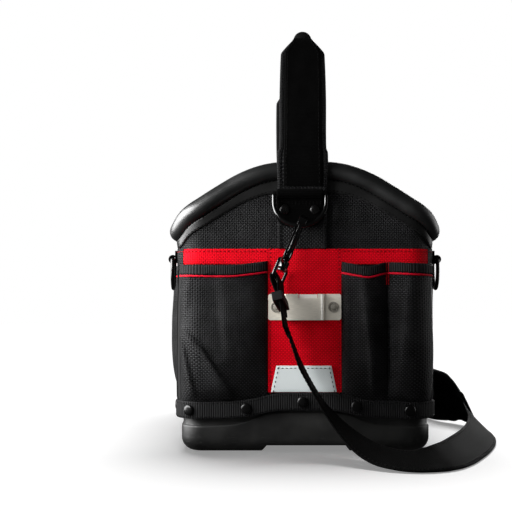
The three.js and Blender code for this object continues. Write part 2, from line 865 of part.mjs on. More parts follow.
// The handle's strap at one end, from the red panel over the rim to the grip, as a path in
// the plane of Y and Z: how far out from the end wall, and how high.
function handlePath() {
  const clear = -humpLean + rimRadius + rimOffset + 2 * fitGap;
  const aboveRim = rimHumpHeight + rimRadius * 1.5;
  const outAbove = clear - 2.5;
  const climb = gripHeight - gripRadius - aboveRim;
  const inward = gripSetBack - strapUnderGrip + outAbove;
  const points = [
    [fitGap, panelTop + fitGap + 0.1],
    [fitGap, ringBarHeight - flatUnderBar],
    [fitGap + 0.2, ringBarHeight],
    [clear, rimHumpHeight - rimRadius],
    [clear, rimHumpHeight + 2],
    [outAbove, aboveRim],
    [outAbove - inward * 0.25, aboveRim + climb * 0.3],
    [outAbove - inward * 0.55, aboveRim + climb * 0.6],
    [outAbove - inward * 0.86, aboveRim + climb * 0.88],
    [outAbove - inward, gripHeight - gripRadius * 0.8],
    [-gripSetBack + fitGap + 2, gripHeight - gripRadius * 0.25],
  ];
  return new THREE.CatmullRomCurve3(points.map(([out, z]) => new THREE.Vector3(0, -out, z)));
}

// Widths of the handle's webbing and backing, as shares of their named widths, by height as
// a share of the way from the rim to the grip.
const handleWidths = [
  { at: -0.2, webbing: 1.02, backing: 1.04 },
  { at: 0.04, webbing: 1.02, backing: 1.06 },
  { at: 0.08, webbing: 1, backing: 0.99 },
  { at: 0.5, webbing: 1, backing: 1 },
  { at: 0.84, webbing: 1, backing: 0.97 },
  { at: 0.87, webbing: 0.97, backing: 0.93 },
  { at: 1, webbing: 0.42, backing: 0.33 },
];

function addHandle() {
  const curve = handlePath();
  const count = 18;
  const lift = gripHeight - rimHumpHeight - rimRadius;
  const layers = [
    { part: 'backing', width: backingWidth, from: 0, thick: backingThickness, low: 0 },
    {
      part: 'webbing', width: webbingWidth, from: backingThickness + fitGap,
      thick: webbingThickness, low: ringBarHeight + ringWire / 2 + ringClearance + webbingAboveTab,
    },
  ];
  for (const end of [{ name: 'near', turn: 1 }, { name: 'far', turn: -1 }]) {
    for (const layer of layers) {
      const stations = [];
      for (let i = 0; i <= count; i += 1) {
        const p = curve.getPoint(i / count);
        if (p.z < layer.low) continue;
        const share = (p.z - rimHumpHeight - rimRadius) / lift;
        const aside = handleShift * (1 - Math.min(Math.max(share, 0), 1));
        stations.push({
          point: new THREE.Vector3(aside * end.turn, (p.y - halfLength) * end.turn, p.z),
          across: new THREE.Vector3(-end.turn, 0, 0),
          width: layer.width * readRows(handleWidths, layer.part, share),
          from: layer.from,
          to: layer.from + layer.thick,
        });
      }
      addPiece(`handle_${layer.part}_${end.name}`, band(stations), 'webbing');
    }
  }
  const half = halfLength - gripSetBack + gripLap;
  const profile = [
    [0, -half], [gripRadius - 1.2, -half], [gripRadius, -half + 1.5],
    [gripRadius + 0.6, -half + 12], [gripRadius + 0.6, half - 12],
    [gripRadius, half - 1.5], [gripRadius - 1.2, half], [0, half],
  ];
  const points = profile.map(([radius, y]) => new THREE.Vector2(radius, y));
  const grip = addPiece('handle_grip', new THREE.LatheGeometry(points, 12), 'grip');
  grip.position.set(0, 0, gripHeight);
}

// D-ring path in its own plane: a straight bar with rounded ends, and a bowl below it.
function ringPath(width, drop, bowlSteps) {
  const half = width / 2;
  const corner = drop * 0.085;
  const shoulder = drop * ringShoulder;
  const turns = [0, 0.5, 1].map((t) => {
    const angle = (t * Math.PI) / 2;
    return [half - corner + corner * Math.sin(angle), -corner + corner * Math.cos(angle)];
  });
  const bowl = [];
  for (let i = 0; i <= bowlSteps; i += 1) {
    const angle = (i / bowlSteps) * Math.PI;
    bowl.push([half * Math.cos(angle), -shoulder - (drop - shoulder) * Math.sin(angle)]);
  }
  const otherTurns = turns.map(([x, y]) => [-x, y]).reverse();
  return [...turns, ...bowl, ...otherTurns];
}

// A strip of webbing rolled round a ring's bar, with its tail on the wall. The profile is
// drawn with x as the distance out from the wall and y as the height from the bar.
function rollProfile(tailInner, thickness, holeRadius, tailEnd) {
  const outer = holeRadius + thickness;
  const middle = tailInner + outer;
  const meet = Math.acos((outer - thickness) / outer);
  const way = tailEnd < 0 ? 1 : -1;
  const shape = new THREE.Shape();
  shape.moveTo(tailInner, tailEnd);
  shape.lineTo(tailInner, 0);
  const steps = 12;
  const start = Math.PI;
  const sweepAngle = 2 * Math.PI - meet;
  for (let i = 1; i <= steps; i += 1) {
    const angle = start - (sweepAngle * i) / steps;
    shape.lineTo(middle + outer * Math.cos(angle), way * outer * Math.sin(angle));
  }
  shape.lineTo(tailInner + thickness, tailEnd);
  shape.closePath();
  const hole = new THREE.Path();
  const sides = 10;
  for (let i = 0; i <= sides; i += 1) {
    const angle = (2 * Math.PI * i) / sides;
    const x = middle + holeRadius * Math.cos(angle);
    const y = holeRadius * Math.sin(angle);
    if (i === 0) hole.moveTo(x, y);
    else if (i < sides) hole.lineTo(x, y);
  }
  hole.closePath();
  shape.holes.push(hole);
  return { shape, middle };
}

const tabInner = fitGap + backingThickness + fitGap + 0.1;
const ringHole = ringWire / 2 + ringClearance;
const tabRoll = rollProfile(tabInner, tabThickness, ringHole, -tabDrop);

function ringPoint(end, x, drop) {
  const tilt = THREE.MathUtils.degToRad(ringTilt);
  const out = tabRoll.middle + drop * Math.sin(tilt);
  const z = ringBarHeight - drop * Math.cos(tilt);
  return new THREE.Vector3((ringShift + x) * end.turn, -(halfLength + out) * end.turn, z);
}

function addEndRings() {
  for (const end of [{ name: 'near', turn: 1 }, { name: 'far', turn: -1 }]) {
    const outAxis = new THREE.Vector3(0, -end.turn, 0);
    const across = new THREE.Vector3(end.turn, 0, 0);
    const middle = new THREE.Vector3(ringShift * end.turn, -halfLength * end.turn, ringBarHeight);
    const roll = toSolid(slab(tabRoll.shape, tabWidth, outAxis, up, middle));
    const front = new THREE.Shape();
    const half = tabWidth / 2;
    const low = -tabDrop;
    front.moveTo(-half - 1, 12);
    front.lineTo(-half - 1, low + tabRound);
    front.lineTo(-half, low + tabRound);
    front.quadraticCurveTo(-half, low - 0.5, -half + tabRound, low - 0.5);
    front.lineTo(half - tabRound, low - 0.5);
    front.quadraticCurveTo(half, low - 0.5, half, low + tabRound);
    front.lineTo(half + 1, low + tabRound);
    front.lineTo(half + 1, 12);
    front.closePath();
    const outline = toSolid(slab(front, 60, across, up, middle, 4));
    addPiece(`ring_tab_${end.name}`, fromSolid(roll.intersect(outline)), 'webbing');

    const path = ringPath(ringWidth, ringDrop, 12).map(([x, y]) => ringPoint(end, x, -y));
    const a = new THREE.Vector3().subVectors(ringPoint(end, 1, 0), ringPoint(end, 0, 0));
    const b = new THREE.Vector3().subVectors(ringPoint(end, 0, 1), ringPoint(end, 0, 0));
    const planeNormal = new THREE.Vector3().crossVectors(a, b).normalize();
    addPiece(`d_ring_${end.name}`, wireLoop(path, ringWire / 2, 6, planeNormal), 'blackMetal');

    for (const [side, x] of [['left', -tabRivetAside], ['right', tabRivetAside]]) {
      const seat = middle.clone().addScaledVector(across, x);
      seat.addScaledVector(outAxis, tabInner + tabThickness + fitGap);
      seat.z = ringBarHeight - tabRivetBelow;
      const name = `tab_rivet_${end.name}_${side}`;
      addRivet(name, seat, outAxis, tabRivetDiameter, tabRivetRise);
    }
  }
}

function addSideRings() {
  const inner = fitGap + panelThickness + fitGap;
  const hole = sideRingWire / 2 + ringClearance;
  const roll = rollProfile(inner, tabThickness, hole, panelTop - 1 - sideRingBarHeight);
  for (const side of [{ name: 'left', turn: -1 }, { name: 'right', turn: 1 }]) {
    const outAxis = new THREE.Vector3(side.turn, 0, 0);
    const across = new THREE.Vector3(0, side.turn, 0);
    const middle = new THREE.Vector3(side.turn * halfWidth, -sideRingPlace, sideRingBarHeight);
    const loop = slab(roll.shape, sideLoopWidth, outAxis, up, middle);
    addPiece(`side_loop_${side.name}`, loop, 'webbing');
    const path = ringPath(sideRingWidth, sideRingDrop, 8).map(([x, y]) =>
      middle
        .clone()
        .addScaledVector(outAxis, roll.middle)
        .addScaledVector(across, x)
        .addScaledVector(up, y),
    );
    addPiece(`side_ring_${side.name}`, wireLoop(path, sideRingWire / 2, 6, outAxis), 'blackMetal');
  }
}

// Route of the shoulder strap, chosen by hand from the clip at the near end, down to the
// floor, round in a loop and back along the right side to the far end. A point of the
// webbing's middle keeps with the tote's side, end and ring bar by the shares of those
// columns, and x, y and z are its place beyond them. w is the way the width points.
const strapRoute = [
  { side: 0, end: -1, ring: 1, x: -21.5, y: -32, z: -136, wx: 0.04, wy: 1, wz: 0.01 },
  { side: 0, end: -1, ring: 0.85, x: -14.7, y: -32.5, z: -115.8, wx: 0.06, wy: 1, wz: 0.03 },
  { side: 0, end: -1, ring: 0.7, x: -7, y: -33, z: -95.6, wx: 0.1, wy: 1, wz: 0.06 },
  { side: 0, end: -1, ring: 0.5, x: 3, y: -35, z: -61, wx: 0.1, wy: 1, wz: 0.03 },
  { side: 0, end: -1, ring: 0.35, x: 14, y: -39, z: -38.8, wx: 0.13, wy: 1, wz: 0.03 },
  { side: 0.1, end: -1, ring: 0.2, x: 16.64, y: -49, z: -17.6, wx: 0.22, wy: 1, wz: 0.12 },
  { side: 0.2, end: -1, ring: 0.1, x: 20.28, y: -64, z: -5.8, wx: 0.34, wy: 1, wz: 0.2 },
  { side: 0.3, end: -1, ring: 0.05, x: 23.92, y: -81, z: -1.4, wx: 0.44, wy: 0.92, wz: 0.28 },
  { side: 0.4, end: -1, ring: 0, x: 28.56, y: -95, z: 9, wx: 0.3, wy: 0.95, wz: 0.33 },
  { side: 0.5, end: -1, ring: 0, x: 35.2, y: -100, z: 8.6, wx: -0.02, wy: 1, wz: 0.42 },
  { side: 0.6, end: -1, ring: 0, x: 40.84, y: -92, z: 8.6, wx: -0.45, wy: 0.8, wz: 0.45 },
  { side: 0.7, end: -1, ring: 0, x: 45.48, y: -70, z: 9, wx: -0.75, wy: 0.5, wz: 0.5 },
  { side: 0.85, end: -1, ring: 0, x: 43.44, y: -36, z: 10, wx: -0.85, wy: 0.36, wz: 0.55 },
  { side: 1, end: -0.9, ring: 0, x: 41.4, y: -15, z: 10.5, wx: -0.88, wy: 0.3, wz: 0.6 },
  { side: 1, end: -0.7, ring: 0, x: 57.4, y: -9, z: 11, wx: -0.9, wy: 0.24, wz: 0.65 },
  { side: 1, end: -0.5, ring: 0, x: 69.4, y: 0, z: 12, wx: -0.95, wy: 0.1, wz: 0.75 },
  { side: 1, end: -0.25, ring: 0, x: 74.4, y: -2.5, z: 14, wx: -0.9, wy: -0.1, wz: 0.95 },
  { side: 1, end: -0.05, ring: 0, x: 70.4, y: -0.5, z: 17, wx: -0.6, wy: -0.3, wz: 1.2 },
  { side: 1, end: 0.1, ring: 0, x: 57.4, y: 3, z: 22, wx: -0.3, wy: -0.25, wz: 1.3 },
  { side: 1, end: 0.3, ring: 0, x: 42.4, y: -5, z: 29, wx: -0.15, wy: -0.1, wz: 1.3 },
  { side: 1, end: 0.5, ring: 0.05, x: 34.4, y: -7, z: 19.6, wx: -0.05, wy: 0, wz: 1 },
  { side: 1, end: 0.7, ring: 0.1, x: 32.4, y: -7, z: 12.2, wx: 0, wy: 0, wz: 1 },
  { side: 1, end: 0.85, ring: 0.25, x: 29.4, y: 0.5, z: -15, wx: 0.05, wy: 0.1, wz: 1 },
  { side: 1, end: 1, ring: 0.4, x: 15.4, y: 5, z: -31.2, wx: 0.3, wy: 0.2, wz: 1 },
  { side: 0.7, end: 1, ring: 0.6, x: 30.48, y: 25, z: -56.8, wx: 0.6, wy: 0.12, wz: 0.9 },
  { side: 0.4, end: 1, ring: 0.85, x: 42.56, y: 31, z: -95.8, wx: 0.72, wy: 0.03, wz: 0.72 },
];

function routePoint(row) {
  const x = row.side * halfWidth + row.x;
  const y = row.end * halfLength + row.y;
  const z = row.ring * ringBarHeight + row.z;
  return new THREE.Vector3(x, y, z);
}

// At each end a hook hangs from the ring, leaning the way the strap pulls it, and slides some
// of the way round the ring's bowl to face the pull. The strap's width lies along w where it
// turns round the bail.
const strapEnds = {
  near: { turn: 1, hang: { x: -0.39, y: -0.19, z: -0.9 }, w: { x: 0.28, y: 0.96, z: 0 }, slide: 0 },
  far: { turn: -1, hang: { x: 0.654, y: 0.107, z: -0.75 }, w: { x: 0.72, y: 0, z: 0.69 }, slide: 1 },
};

function vector({ x, y, z }) {
  return new THREE.Vector3(x, y, z);
}

const neckTop = -hookShank - hookShoulder * 0.45;
const bailTop = neckTop - neckLength / 2;

// A hook's own frame: its axes, the middle of its eye, and the bar that the strap turns
// round. The ring's wire lies against the inside of the eye.
function hookFrame(end) {
  const { turn, hang, w, slide } = strapEnds[end];
  const above = vector(hang).normalize().negate();
  const away = new THREE.Vector3(0, -turn, 0);
  const outAxis = away.addScaledVector(above, -away.dot(above)).normalize();
  const sideAxis = new THREE.Vector3().crossVectors(outAxis, above);
  const half = ringWidth / 2;
  const bowl = ringDrop * (1 - ringShoulder);
  const pull = { x: hang.x * turn * slide, z: -hang.z };
  const reach = Math.hypot(half * pull.x, bowl * pull.z);
  const x = (half ** 2 * pull.x) / reach;
  const drop = ringDrop * ringShoulder + (bowl ** 2 * pull.z) / reach;
  const wireSeat = hookEyeRadius - ringWire / 2 - hookPlay;
  const eye = ringPoint({ turn }, x, drop)
    .addScaledVector(outAxis, hookOnRing)
    .addScaledVector(above, -Math.sqrt(wireSeat ** 2 - hookOnRing ** 2));
  const bar = eye.clone().addScaledVector(above, bailTop - bailDrop);
  const across = vector(w).normalize();
  across.addScaledVector(above, -across.dot(above)).normalize();
  return { outAxis, above, sideAxis, across, eye, bar };
}

// The webbing turns round the bail's bar and comes back along itself as a short tail. The
// stations run from the end of the tail, round the bar and on towards the strap.
function foldStations(end, nextPoint) {
  const { bar, across } = hookFrame(end);
  const down = new THREE.Vector3().subVectors(nextPoint, bar);
  down.addScaledVector(across, -down.dot(across)).normalize();
  const face = new THREE.Vector3().crossVectors(across, down);
  const turnRadius = bailWire / 2 + ringClearance + strapThickness / 2;
  const layerGap = strapThickness / 2 + fitGap;
  const rows = [
    { down: foldTail, out: layerGap },
    { down: foldTail - sliderLength - 3, out: layerGap },
    { down: foldTail * 0.2, out: turnRadius * 0.92 },
  ];
  for (let i = 0; i <= 6; i += 1) {
    const angle = (Math.PI * i) / 6;
    rows.push({ down: -turnRadius * Math.sin(angle), out: turnRadius * Math.cos(angle) });
  }
  rows.push(
    { down: foldTail * 0.2, out: -turnRadius * 0.92 },
    { down: foldTail - sliderLength - 3, out: -layerGap },
    { down: foldTail, out: -layerGap },
    { down: foldTail + 8, out: -layerGap },
  );
  return rows.map((row) => ({
    point: bar.clone().addScaledVector(down, row.down).addScaledVector(face, row.out),
    across,
  }));
}

// Widths of the pad along the strap, as shares of its named width.
const padRows = [
  { at: 0, width: 0.66 },
  { at: 0.08, width: 0.72 },
  { at: 0.22, width: 1 },
  { at: 0.78, width: 1 },
  { at: 0.92, width: 0.72 },
  { at: 1, width: 0.66 },
];

// Stations of the route, and the share of it where the pad starts and ends.
const stationsPerRow = 2;
const lastStation = (strapRoute.length - 1) * stationsPerRow;
const padSpan = { from: 0.68, to: 0.92 };
const padFrom = Math.round(lastStation * padSpan.from);
const padTo = Math.round(lastStation * padSpan.to);

function padWidthAt(station) {
  const share = (station - padFrom) / (padTo - padFrom);
  return padWidth * readRows(padRows, 'width', share);
}

// The route in even steps. Where the strap or its pad would dip below the floor, it is
// lifted onto it.
function strapStations() {
  const points = strapRoute.map(routePoint);
  const curve = new THREE.CatmullRomCurve3(points, false, 'centripetal');
  const widths = strapRoute.map((row) => new THREE.Vector3(row.wx, row.wy, row.wz).normalize());
  const stations = [];
  for (let i = 0; i <= lastStation; i += 1) {
    const k = Math.min(Math.floor(i / stationsPerRow), points.length - 2);
    const across = widths[k].clone().lerp(widths[k + 1], i / stationsPerRow - k).normalize();
    stations.push({ point: curve.getPoint(i / lastStation), across });
  }
  bandSections(stations).forEach(({ across }, i) => {
    const onPad = i >= padFrom && i <= padTo;
    const width = onPad ? padWidthAt(i) : strapWidth;
    const thickness = onPad ? padThickness * 2 + strapThickness : strapThickness;
    const tilt = Math.hypot(across.x, across.y);
    const low = stations[i].point.z - (width * across.z + thickness * tilt) / 2;
    if (low < floorGap) stations[i].point.z += floorGap - low;
  });
  return stations;
}

function addStrap() {
  const route = strapStations();
  const near = foldStations('near', route[0].point);
  const far = foldStations('far', route[route.length - 1].point).reverse();
  const half = strapThickness / 2;
  const stations = bandSections([...near, ...route, ...far]);
  for (const station of stations) {
    Object.assign(station, { width: strapWidth, from: -half, to: half });
  }
  addPiece('shoulder_strap', band(stations), 'webbing');

  const padStations = [];
  for (let i = padFrom; i <= padTo; i += 1) {
    const station = stations[near.length + i];
    const side = Math.sign(stations[near.length + padFrom + 3].face.x);
    const skin = side * (half + fitGap);
    const skins = { from: skin, to: skin + side * padThickness };
    padStations.push({ ...station, width: padWidthAt(i), ...skins });
  }
  addPiece('shoulder_pad', band(padStations), 'ballistic');

  const tail = stations[0];
  const layers = tail.point.clone().addScaledVector(tail.face, -(strapThickness / 2 + fitGap));
  const otherSide = tail.point.clone().addScaledVector(tail.face, strapThickness / 2 + fitGap);
  const main = stations[near.length - 2].point;
  const between = layers.distanceTo(main) < otherSide.distanceTo(main) ? layers : otherSide;
  const back = sliderLength / 2 + 1.5;
  const sliderMiddle = between.clone().addScaledVector(tail.tangent, back);
  const halfIn = strapWidth / 2 + 0.5;
  const thickIn = strapThickness + 5 * fitGap;
  const corners = [[-1, -1], [1, -1], [1, 1], [-1, 1]];
  const outside = corners.map(
    ([a, b]) => new THREE.Vector2(a * (halfIn + sliderWall), b * (thickIn + sliderWall)),
  );
  const shape = new THREE.Shape(outside);
  const inside = corners.map(([a, b]) => new THREE.Vector2(a * halfIn, b * thickIn));
  shape.holes.push(new THREE.Path(inside));
  const frame = slab(shape, sliderLength, tail.across, tail.face, sliderMiddle);
  addPiece('strap_slider', frame, 'blackMetal');
}

// Outline of the hook in its own plane: x away from the tote, y up towards the ring, from
// the middle of its eye. The bar runs round the eye to a tip; the shoulder below carries
// the gate, and the neck goes down through the bail.
function hookShape() {
  const inner = hookEyeRadius;
  const outer = hookEyeRadius + hookBar;
  const polar = (radius, degrees) => {
    const angle = THREE.MathUtils.degToRad(degrees);
    return [radius * Math.cos(angle), radius * Math.sin(angle)];
  };
  const points = [
    [neckRadius, neckTop],
    [outer - 1, -hookShank - 2],
    [outer, -hookShank + hookShoulder * 0.4],
    [outer - 3, -hookShank + hookShoulder * 0.75],
    [inner * 0.4, -hookShank + hookShoulder * 0.75],
    [-inner * 0.75, -hookShank + hookShoulder * 0.95],
  ];
  for (let degrees = 200; degrees >= 4; degrees -= 28) points.push(polar(inner, degrees));
  for (let degrees = 4; degrees <= 200; degrees += 28) points.push(polar(outer, degrees));
  points.push(
    [-outer * 0.88, -hookShank],
    [-neckRadius, neckTop],
  );
  return new THREE.Shape(points.map(([x, y]) => new THREE.Vector2(x, y)));
}

// The gate's pivot, and the slot cut round it in the hook's shoulder.
const gatePivot = { x: hookEyeRadius - 0.4, y: -hookShank + 1.4 };
const gateSlot = { inward: 4.6, outward: 8, below: 4.2, above: 12 };

function gateShape() {
  const eye = gateBar / 2 + pinRadius + 0.6;
  const top = -1.1;
  const outer = hookEyeRadius + hookBar;
  const shape = new THREE.Shape();
  const points = [];
  for (let degrees = 150; degrees <= 390; degrees += 30) {
    const angle = THREE.MathUtils.degToRad(degrees);
    points.push([gatePivot.x + eye * Math.cos(angle), gatePivot.y + eye * Math.sin(angle)]);
  }
  points.push(
    [outer - 0.6, -hookShank * 0.62],
    [outer + 2.6, -hookShank * 0.52],
    [outer + 2.6, -hookShank * 0.38],
    [outer - 0.8, -hookShank * 0.3],
    [outer - 0.8, top],
    [outer - 0.8 - gateBar, top],
    [outer - 1.4 - gateBar, -hookShank * 0.6],
  );
  points.forEach(([x, y], i) => (i === 0 ? shape.moveTo(x, y) : shape.lineTo(x, y)));
  shape.closePath();
  const hole = new THREE.Path();
  const sides = 10;
  const radius = (pinRadius + pinClearance) / Math.cos(Math.PI / sides);
  for (let i = 0; i < sides; i += 1) {
    const angle = (2 * Math.PI * i) / sides;
    const x = gatePivot.x + radius * Math.cos(angle);
    const y = gatePivot.y + radius * Math.sin(angle);
    if (i === 0) hole.moveTo(x, y);
    else hole.lineTo(x, y);
  }
  hole.closePath();
  shape.holes.push(hole);
  return shape;
}

// A round bar along one axis of a frame, as a solid.
function roundBar(radius, length, sides, axis, beside, middle) {
  const bar = new THREE.CylinderGeometry(radius, radius, length, sides);
  const third = new THREE.Vector3().crossVectors(beside, axis);
  const frame = new THREE.Matrix4().makeBasis(beside, axis, third);
  return toSolid(bar.applyMatrix4(frame.setPosition(middle)));
}

// The body of a snap hook: the bar round the eye, a slot with a pin for the gate, and a neck
// with a head that holds the bail.
function addHookBody(end, { outAxis, above, sideAxis, eye }) {
  const at = (x, y) => eye.clone().addScaledVector(outAxis, x).addScaledVector(above, y);
  const slotWidth = gateThickness + 2 * pinClearance;
  const slot = new THREE.Shape();
  slot.moveTo(gatePivot.x - gateSlot.inward, gatePivot.y - gateSlot.below);
  slot.lineTo(gatePivot.x + gateSlot.outward, gatePivot.y - gateSlot.below);
  slot.lineTo(gatePivot.x + gateSlot.outward, gatePivot.y + gateSlot.above);
  slot.lineTo(gatePivot.x - gateSlot.inward, gatePivot.y + gateSlot.above);
  slot.closePath();
  const pinPoint = at(gatePivot.x, gatePivot.y);
  const neckMiddle = at(0, neckTop - neckLength / 2 + 1);
  const headMiddle = at(0, neckTop - neckLength - 1);
  const body = toSolid(slab(hookShape(), hookThickness, outAxis, above, eye))
    .subtract(toSolid(slab(slot, slotWidth, outAxis, above, eye)))
    .add(roundBar(pinRadius, hookThickness - 1, 10, sideAxis, outAxis, pinPoint))
    .add(roundBar(neckRadius, neckLength + 2, 10, above, outAxis, neckMiddle))
    .add(roundBar(neckRadius + 1.6, 2.4, 10, above, outAxis, headMiddle));
  addPiece(`hook_body_${end}`, fromSolid(body), 'blackMetal');
}

// The bail: a loop of wire for the webbing, with a boss that turns on the hook's neck.
function addBail(end, { above, across, eye }) {
  const normal = new THREE.Vector3().crossVectors(across, above);
  const middle = eye.clone().addScaledVector(above, bailTop);
  const half = bailWidth / 2;
  const corner = 2.6;
  const corners = [
    { side: 1, y: -corner, start: 0 },
    { side: -1, y: -corner, start: 90 },
    { side: -1, y: corner - bailDrop, start: 180 },
    { side: 1, y: corner - bailDrop, start: 270 },
  ];
  const path = [];
  for (const { side, y, start } of corners) {
    for (const turn of [0, 45, 90]) {
      const angle = THREE.MathUtils.degToRad(start + turn);
      const x = side * (half - corner) + corner * Math.cos(angle);
      const rise = y + corner * Math.sin(angle);
      path.push(middle.clone().addScaledVector(across, x).addScaledVector(above, rise));
    }
  }
  const boss = roundBar(bossRadius, neckLength - 2.4, 8, above, across, middle);
  const hole = roundBar(neckRadius + 2 * fitGap, neckLength * 2, 8, above, across, middle);
  const bail = toSolid(wireLoop(path, bailWire / 2, 6, normal)).add(boss).subtract(hole);
  addPiece(`hook_bail_${end}`, fromSolid(bail), 'blackMetal');
}

function addHook(end) {
  const frame = hookFrame(end);
  addHookBody(end, frame);
  const gate = slab(gateShape(), gateThickness, frame.outAxis, frame.above, frame.eye);
  addPiece(`hook_gate_${end}`, gate, 'blackMetal');
  addBail(end, frame);
}

addBase();
addShell();
addRim();
addTrim();
addTrimRivets();
addPanels();
addPockets();
addTapeClip();
addHandle();
addEndRings();
addSideRings();
addStrap();
addHook('near');
addHook('far');

export default tote;
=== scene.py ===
# Open top tool tote: black and red fabric on a moulded base, with a padded rim, a carrying
# handle and a clip-on shoulder strap. Metres, Z up, the near short end towards -Y.
import math

import bmesh
import bpy
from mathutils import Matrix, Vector, noise


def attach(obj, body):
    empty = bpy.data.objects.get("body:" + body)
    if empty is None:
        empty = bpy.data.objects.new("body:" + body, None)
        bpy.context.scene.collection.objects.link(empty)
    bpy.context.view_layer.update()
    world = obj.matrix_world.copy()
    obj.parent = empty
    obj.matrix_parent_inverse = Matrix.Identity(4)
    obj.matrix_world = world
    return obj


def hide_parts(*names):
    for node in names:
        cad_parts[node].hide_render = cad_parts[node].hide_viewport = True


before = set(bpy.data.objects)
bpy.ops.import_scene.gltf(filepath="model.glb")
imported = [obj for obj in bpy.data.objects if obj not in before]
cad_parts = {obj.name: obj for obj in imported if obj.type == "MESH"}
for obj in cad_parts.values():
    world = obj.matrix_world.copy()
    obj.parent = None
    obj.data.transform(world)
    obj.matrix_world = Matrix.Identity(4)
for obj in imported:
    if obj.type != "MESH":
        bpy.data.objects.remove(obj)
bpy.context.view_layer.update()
print("frame loaded")

upward = Vector((0, 0, 1))
rightward = Vector((1, 0, 0))
mainBody = "tote"


# Reads a short table of (share, value) rows smoothly.
def readRows(rows, at):
    last = len(rows) - 1
    if at <= rows[0][0]:
        return rows[0][1]
    if at >= rows[last][0]:
        return rows[last][1]
    k = 0
    while rows[k + 1][0] < at:
        k += 1

    def slope(i):
        a = rows[max(i - 1, 0)]
        b = rows[min(i + 1, last)]
        return (b[1] - a[1]) / (b[0] - a[0])

    span = rows[k + 1][0] - rows[k][0]
    t = (at - rows[k][0]) / span
    rise = rows[k + 1][1] - rows[k][1]
    startBend = slope(k) * span - rise
    endBend = rise - slope(k + 1) * span
    return rows[k][1] + t * rise + t * (1 - t) * ((1 - t) * startBend + t * endBend)


def clamp(value, low=0.0, high=1.0):
    return min(max(value, low), high)


def spread(low, high, count):
    return [low + (high - low) * i / count for i in range(count + 1)]


# The tote's plan outline and heights, which all its fabric follows

tote = {
    "halfWidth": 0.1336,
    "halfLength": 0.190,
    "corner": 0.026,
    "wall": 0.0024,
    "gap": 0.0003,
    "rimRadius": 0.010,
    "rimSide": 0.230,
    "rimHump": 0.294,
    "lean": 0.008,
    # share across a short end, share of the drop from the hump to the sides
    "hump": [
        (0, 0), (0.23, 0.025), (0.37, 0.09), (0.51, 0.215), (0.65, 0.39), (0.79, 0.58),
        (0.925, 0.78), (1, 1),
    ],
    # share across any side, share of the wave's height
    "trimWave": [(0, 1), (0.22, 0.92), (0.33, 0.62), (0.46, 0.24), (0.62, 0.06), (1, 0)],
    "ridgeWave": [(0, 1), (0.22, 1), (0.33, 0.86), (0.46, 0.36), (0.62, 0.08), (1, 0)],
    "trimLow": 0.044,
    "trimHigh": 0.053,
    "trimHeight": 0.018,
    "ridgeLow": 0.027,
    "ridgeHigh": 0.041,
}
gap = tote["gap"]
halfWidth = tote["halfWidth"]
halfLength = tote["halfLength"]
endFlat = halfWidth - tote["corner"]
sideFlat = halfLength - tote["corner"]
cornerArc = tote["corner"] * math.pi / 2
perimeter = 4 * (endFlat + sideFlat + cornerArc)

# kind, x, y, way it faces in degrees, length
outlineRuns = [
    ("line", 0, -halfLength, -90, endFlat),
    ("arc", endFlat, -sideFlat, -90, cornerArc),
    ("line", halfWidth, -sideFlat, 0, 2 * sideFlat),
    ("arc", endFlat, sideFlat, 0, cornerArc),
    ("line", endFlat, halfLength, 90, 2 * endFlat),
    ("arc", -endFlat, sideFlat, 90, cornerArc),
    ("line", -halfWidth, sideFlat, 180, 2 * sideFlat),
    ("arc", -endFlat, -sideFlat, 180, cornerArc),
    ("line", -endFlat, -halfLength, 270, endFlat),
]


# A point of the outline: x, y, its outward direction, and the share of its own side.
def outlinePoint(along):
    rest = along % perimeter
    for kind, x, y, turn, length in outlineRuns:
        if rest <= length:
            break
        rest -= length
    rest = min(rest, length)
    angle = math.radians(turn + (90 * rest / length if kind == "arc" else 0))
    nx = math.cos(angle)
    ny = math.sin(angle)
    if kind == "arc":
        return x + tote["corner"] * nx, y + tote["corner"] * ny, nx, ny, 1
    x -= ny * rest
    y += nx * rest
    share = abs(x) / halfWidth if abs(ny) > 0.5 else abs(y) / halfLength
    return x, y, nx, ny, share


def leanAt(z):
    start = tote["rimSide"] - tote["rimRadius"]
    share = clamp((z - start) / (tote["rimHump"] - start), 0, 1.2)
    return tote["lean"] * share ** 1.5


def onWall(along, z, out=0.0):
    x, y, nx, ny, _ = outlinePoint(along)
    return Vector((x + nx * out, (y + ny * out) * (1 - leanAt(z) / halfLength), z))


def acrossEnd(along):
    x, _, _, ny, _ = outlinePoint(along)
    return abs(x) / halfWidth if abs(ny) > 1e-6 else 1


def rimHeight(along):
    drop = readRows(tote["hump"], acrossEnd(along))
    return tote["rimHump"] + (tote["rimSide"] - tote["rimHump"]) * drop


def wallTop(along):
    reach = 0.002
    climb = (rimHeight(along + reach) - rimHeight(along - reach)) / (2 * reach)
    return rimHeight(along) - (tote["rimRadius"] + gap) * math.hypot(1, climb)


def waveHeight(along, column, low, high):
    return low + (high - low) * readRows(tote[column], outlinePoint(along)[4])


def trimMiddle(along):
    return waveHeight(along, "trimWave", tote["trimLow"], tote["trimHigh"])


def ridgeHeight(along):
    return waveHeight(along, "ridgeWave", tote["ridgeLow"], tote["ridgeHigh"])


def ripple(x, y, seed, amount):
    return noise.noise(Vector((x, y, seed))) * amount


# Meshes and objects

def addObject(name, data):
    made = bpy.data.objects.new(name, data)
    bpy.context.scene.collection.objects.link(made)
    return made


def addModifier(piece, kind, **settings):
    modifier = piece.modifiers.new(kind.title(), kind)
    for key, value in settings.items():
        setattr(modifier, key, value)
    return modifier


# The mesh that a piece's modifiers make of it. The piece itself is removed.
def bakeMesh(piece):
    bpy.context.view_layer.update()
    evaluated = piece.evaluated_get(bpy.context.evaluated_depsgraph_get())
    mesh = bpy.data.meshes.new_from_object(evaluated)
    bpy.data.objects.remove(piece)
    return mesh


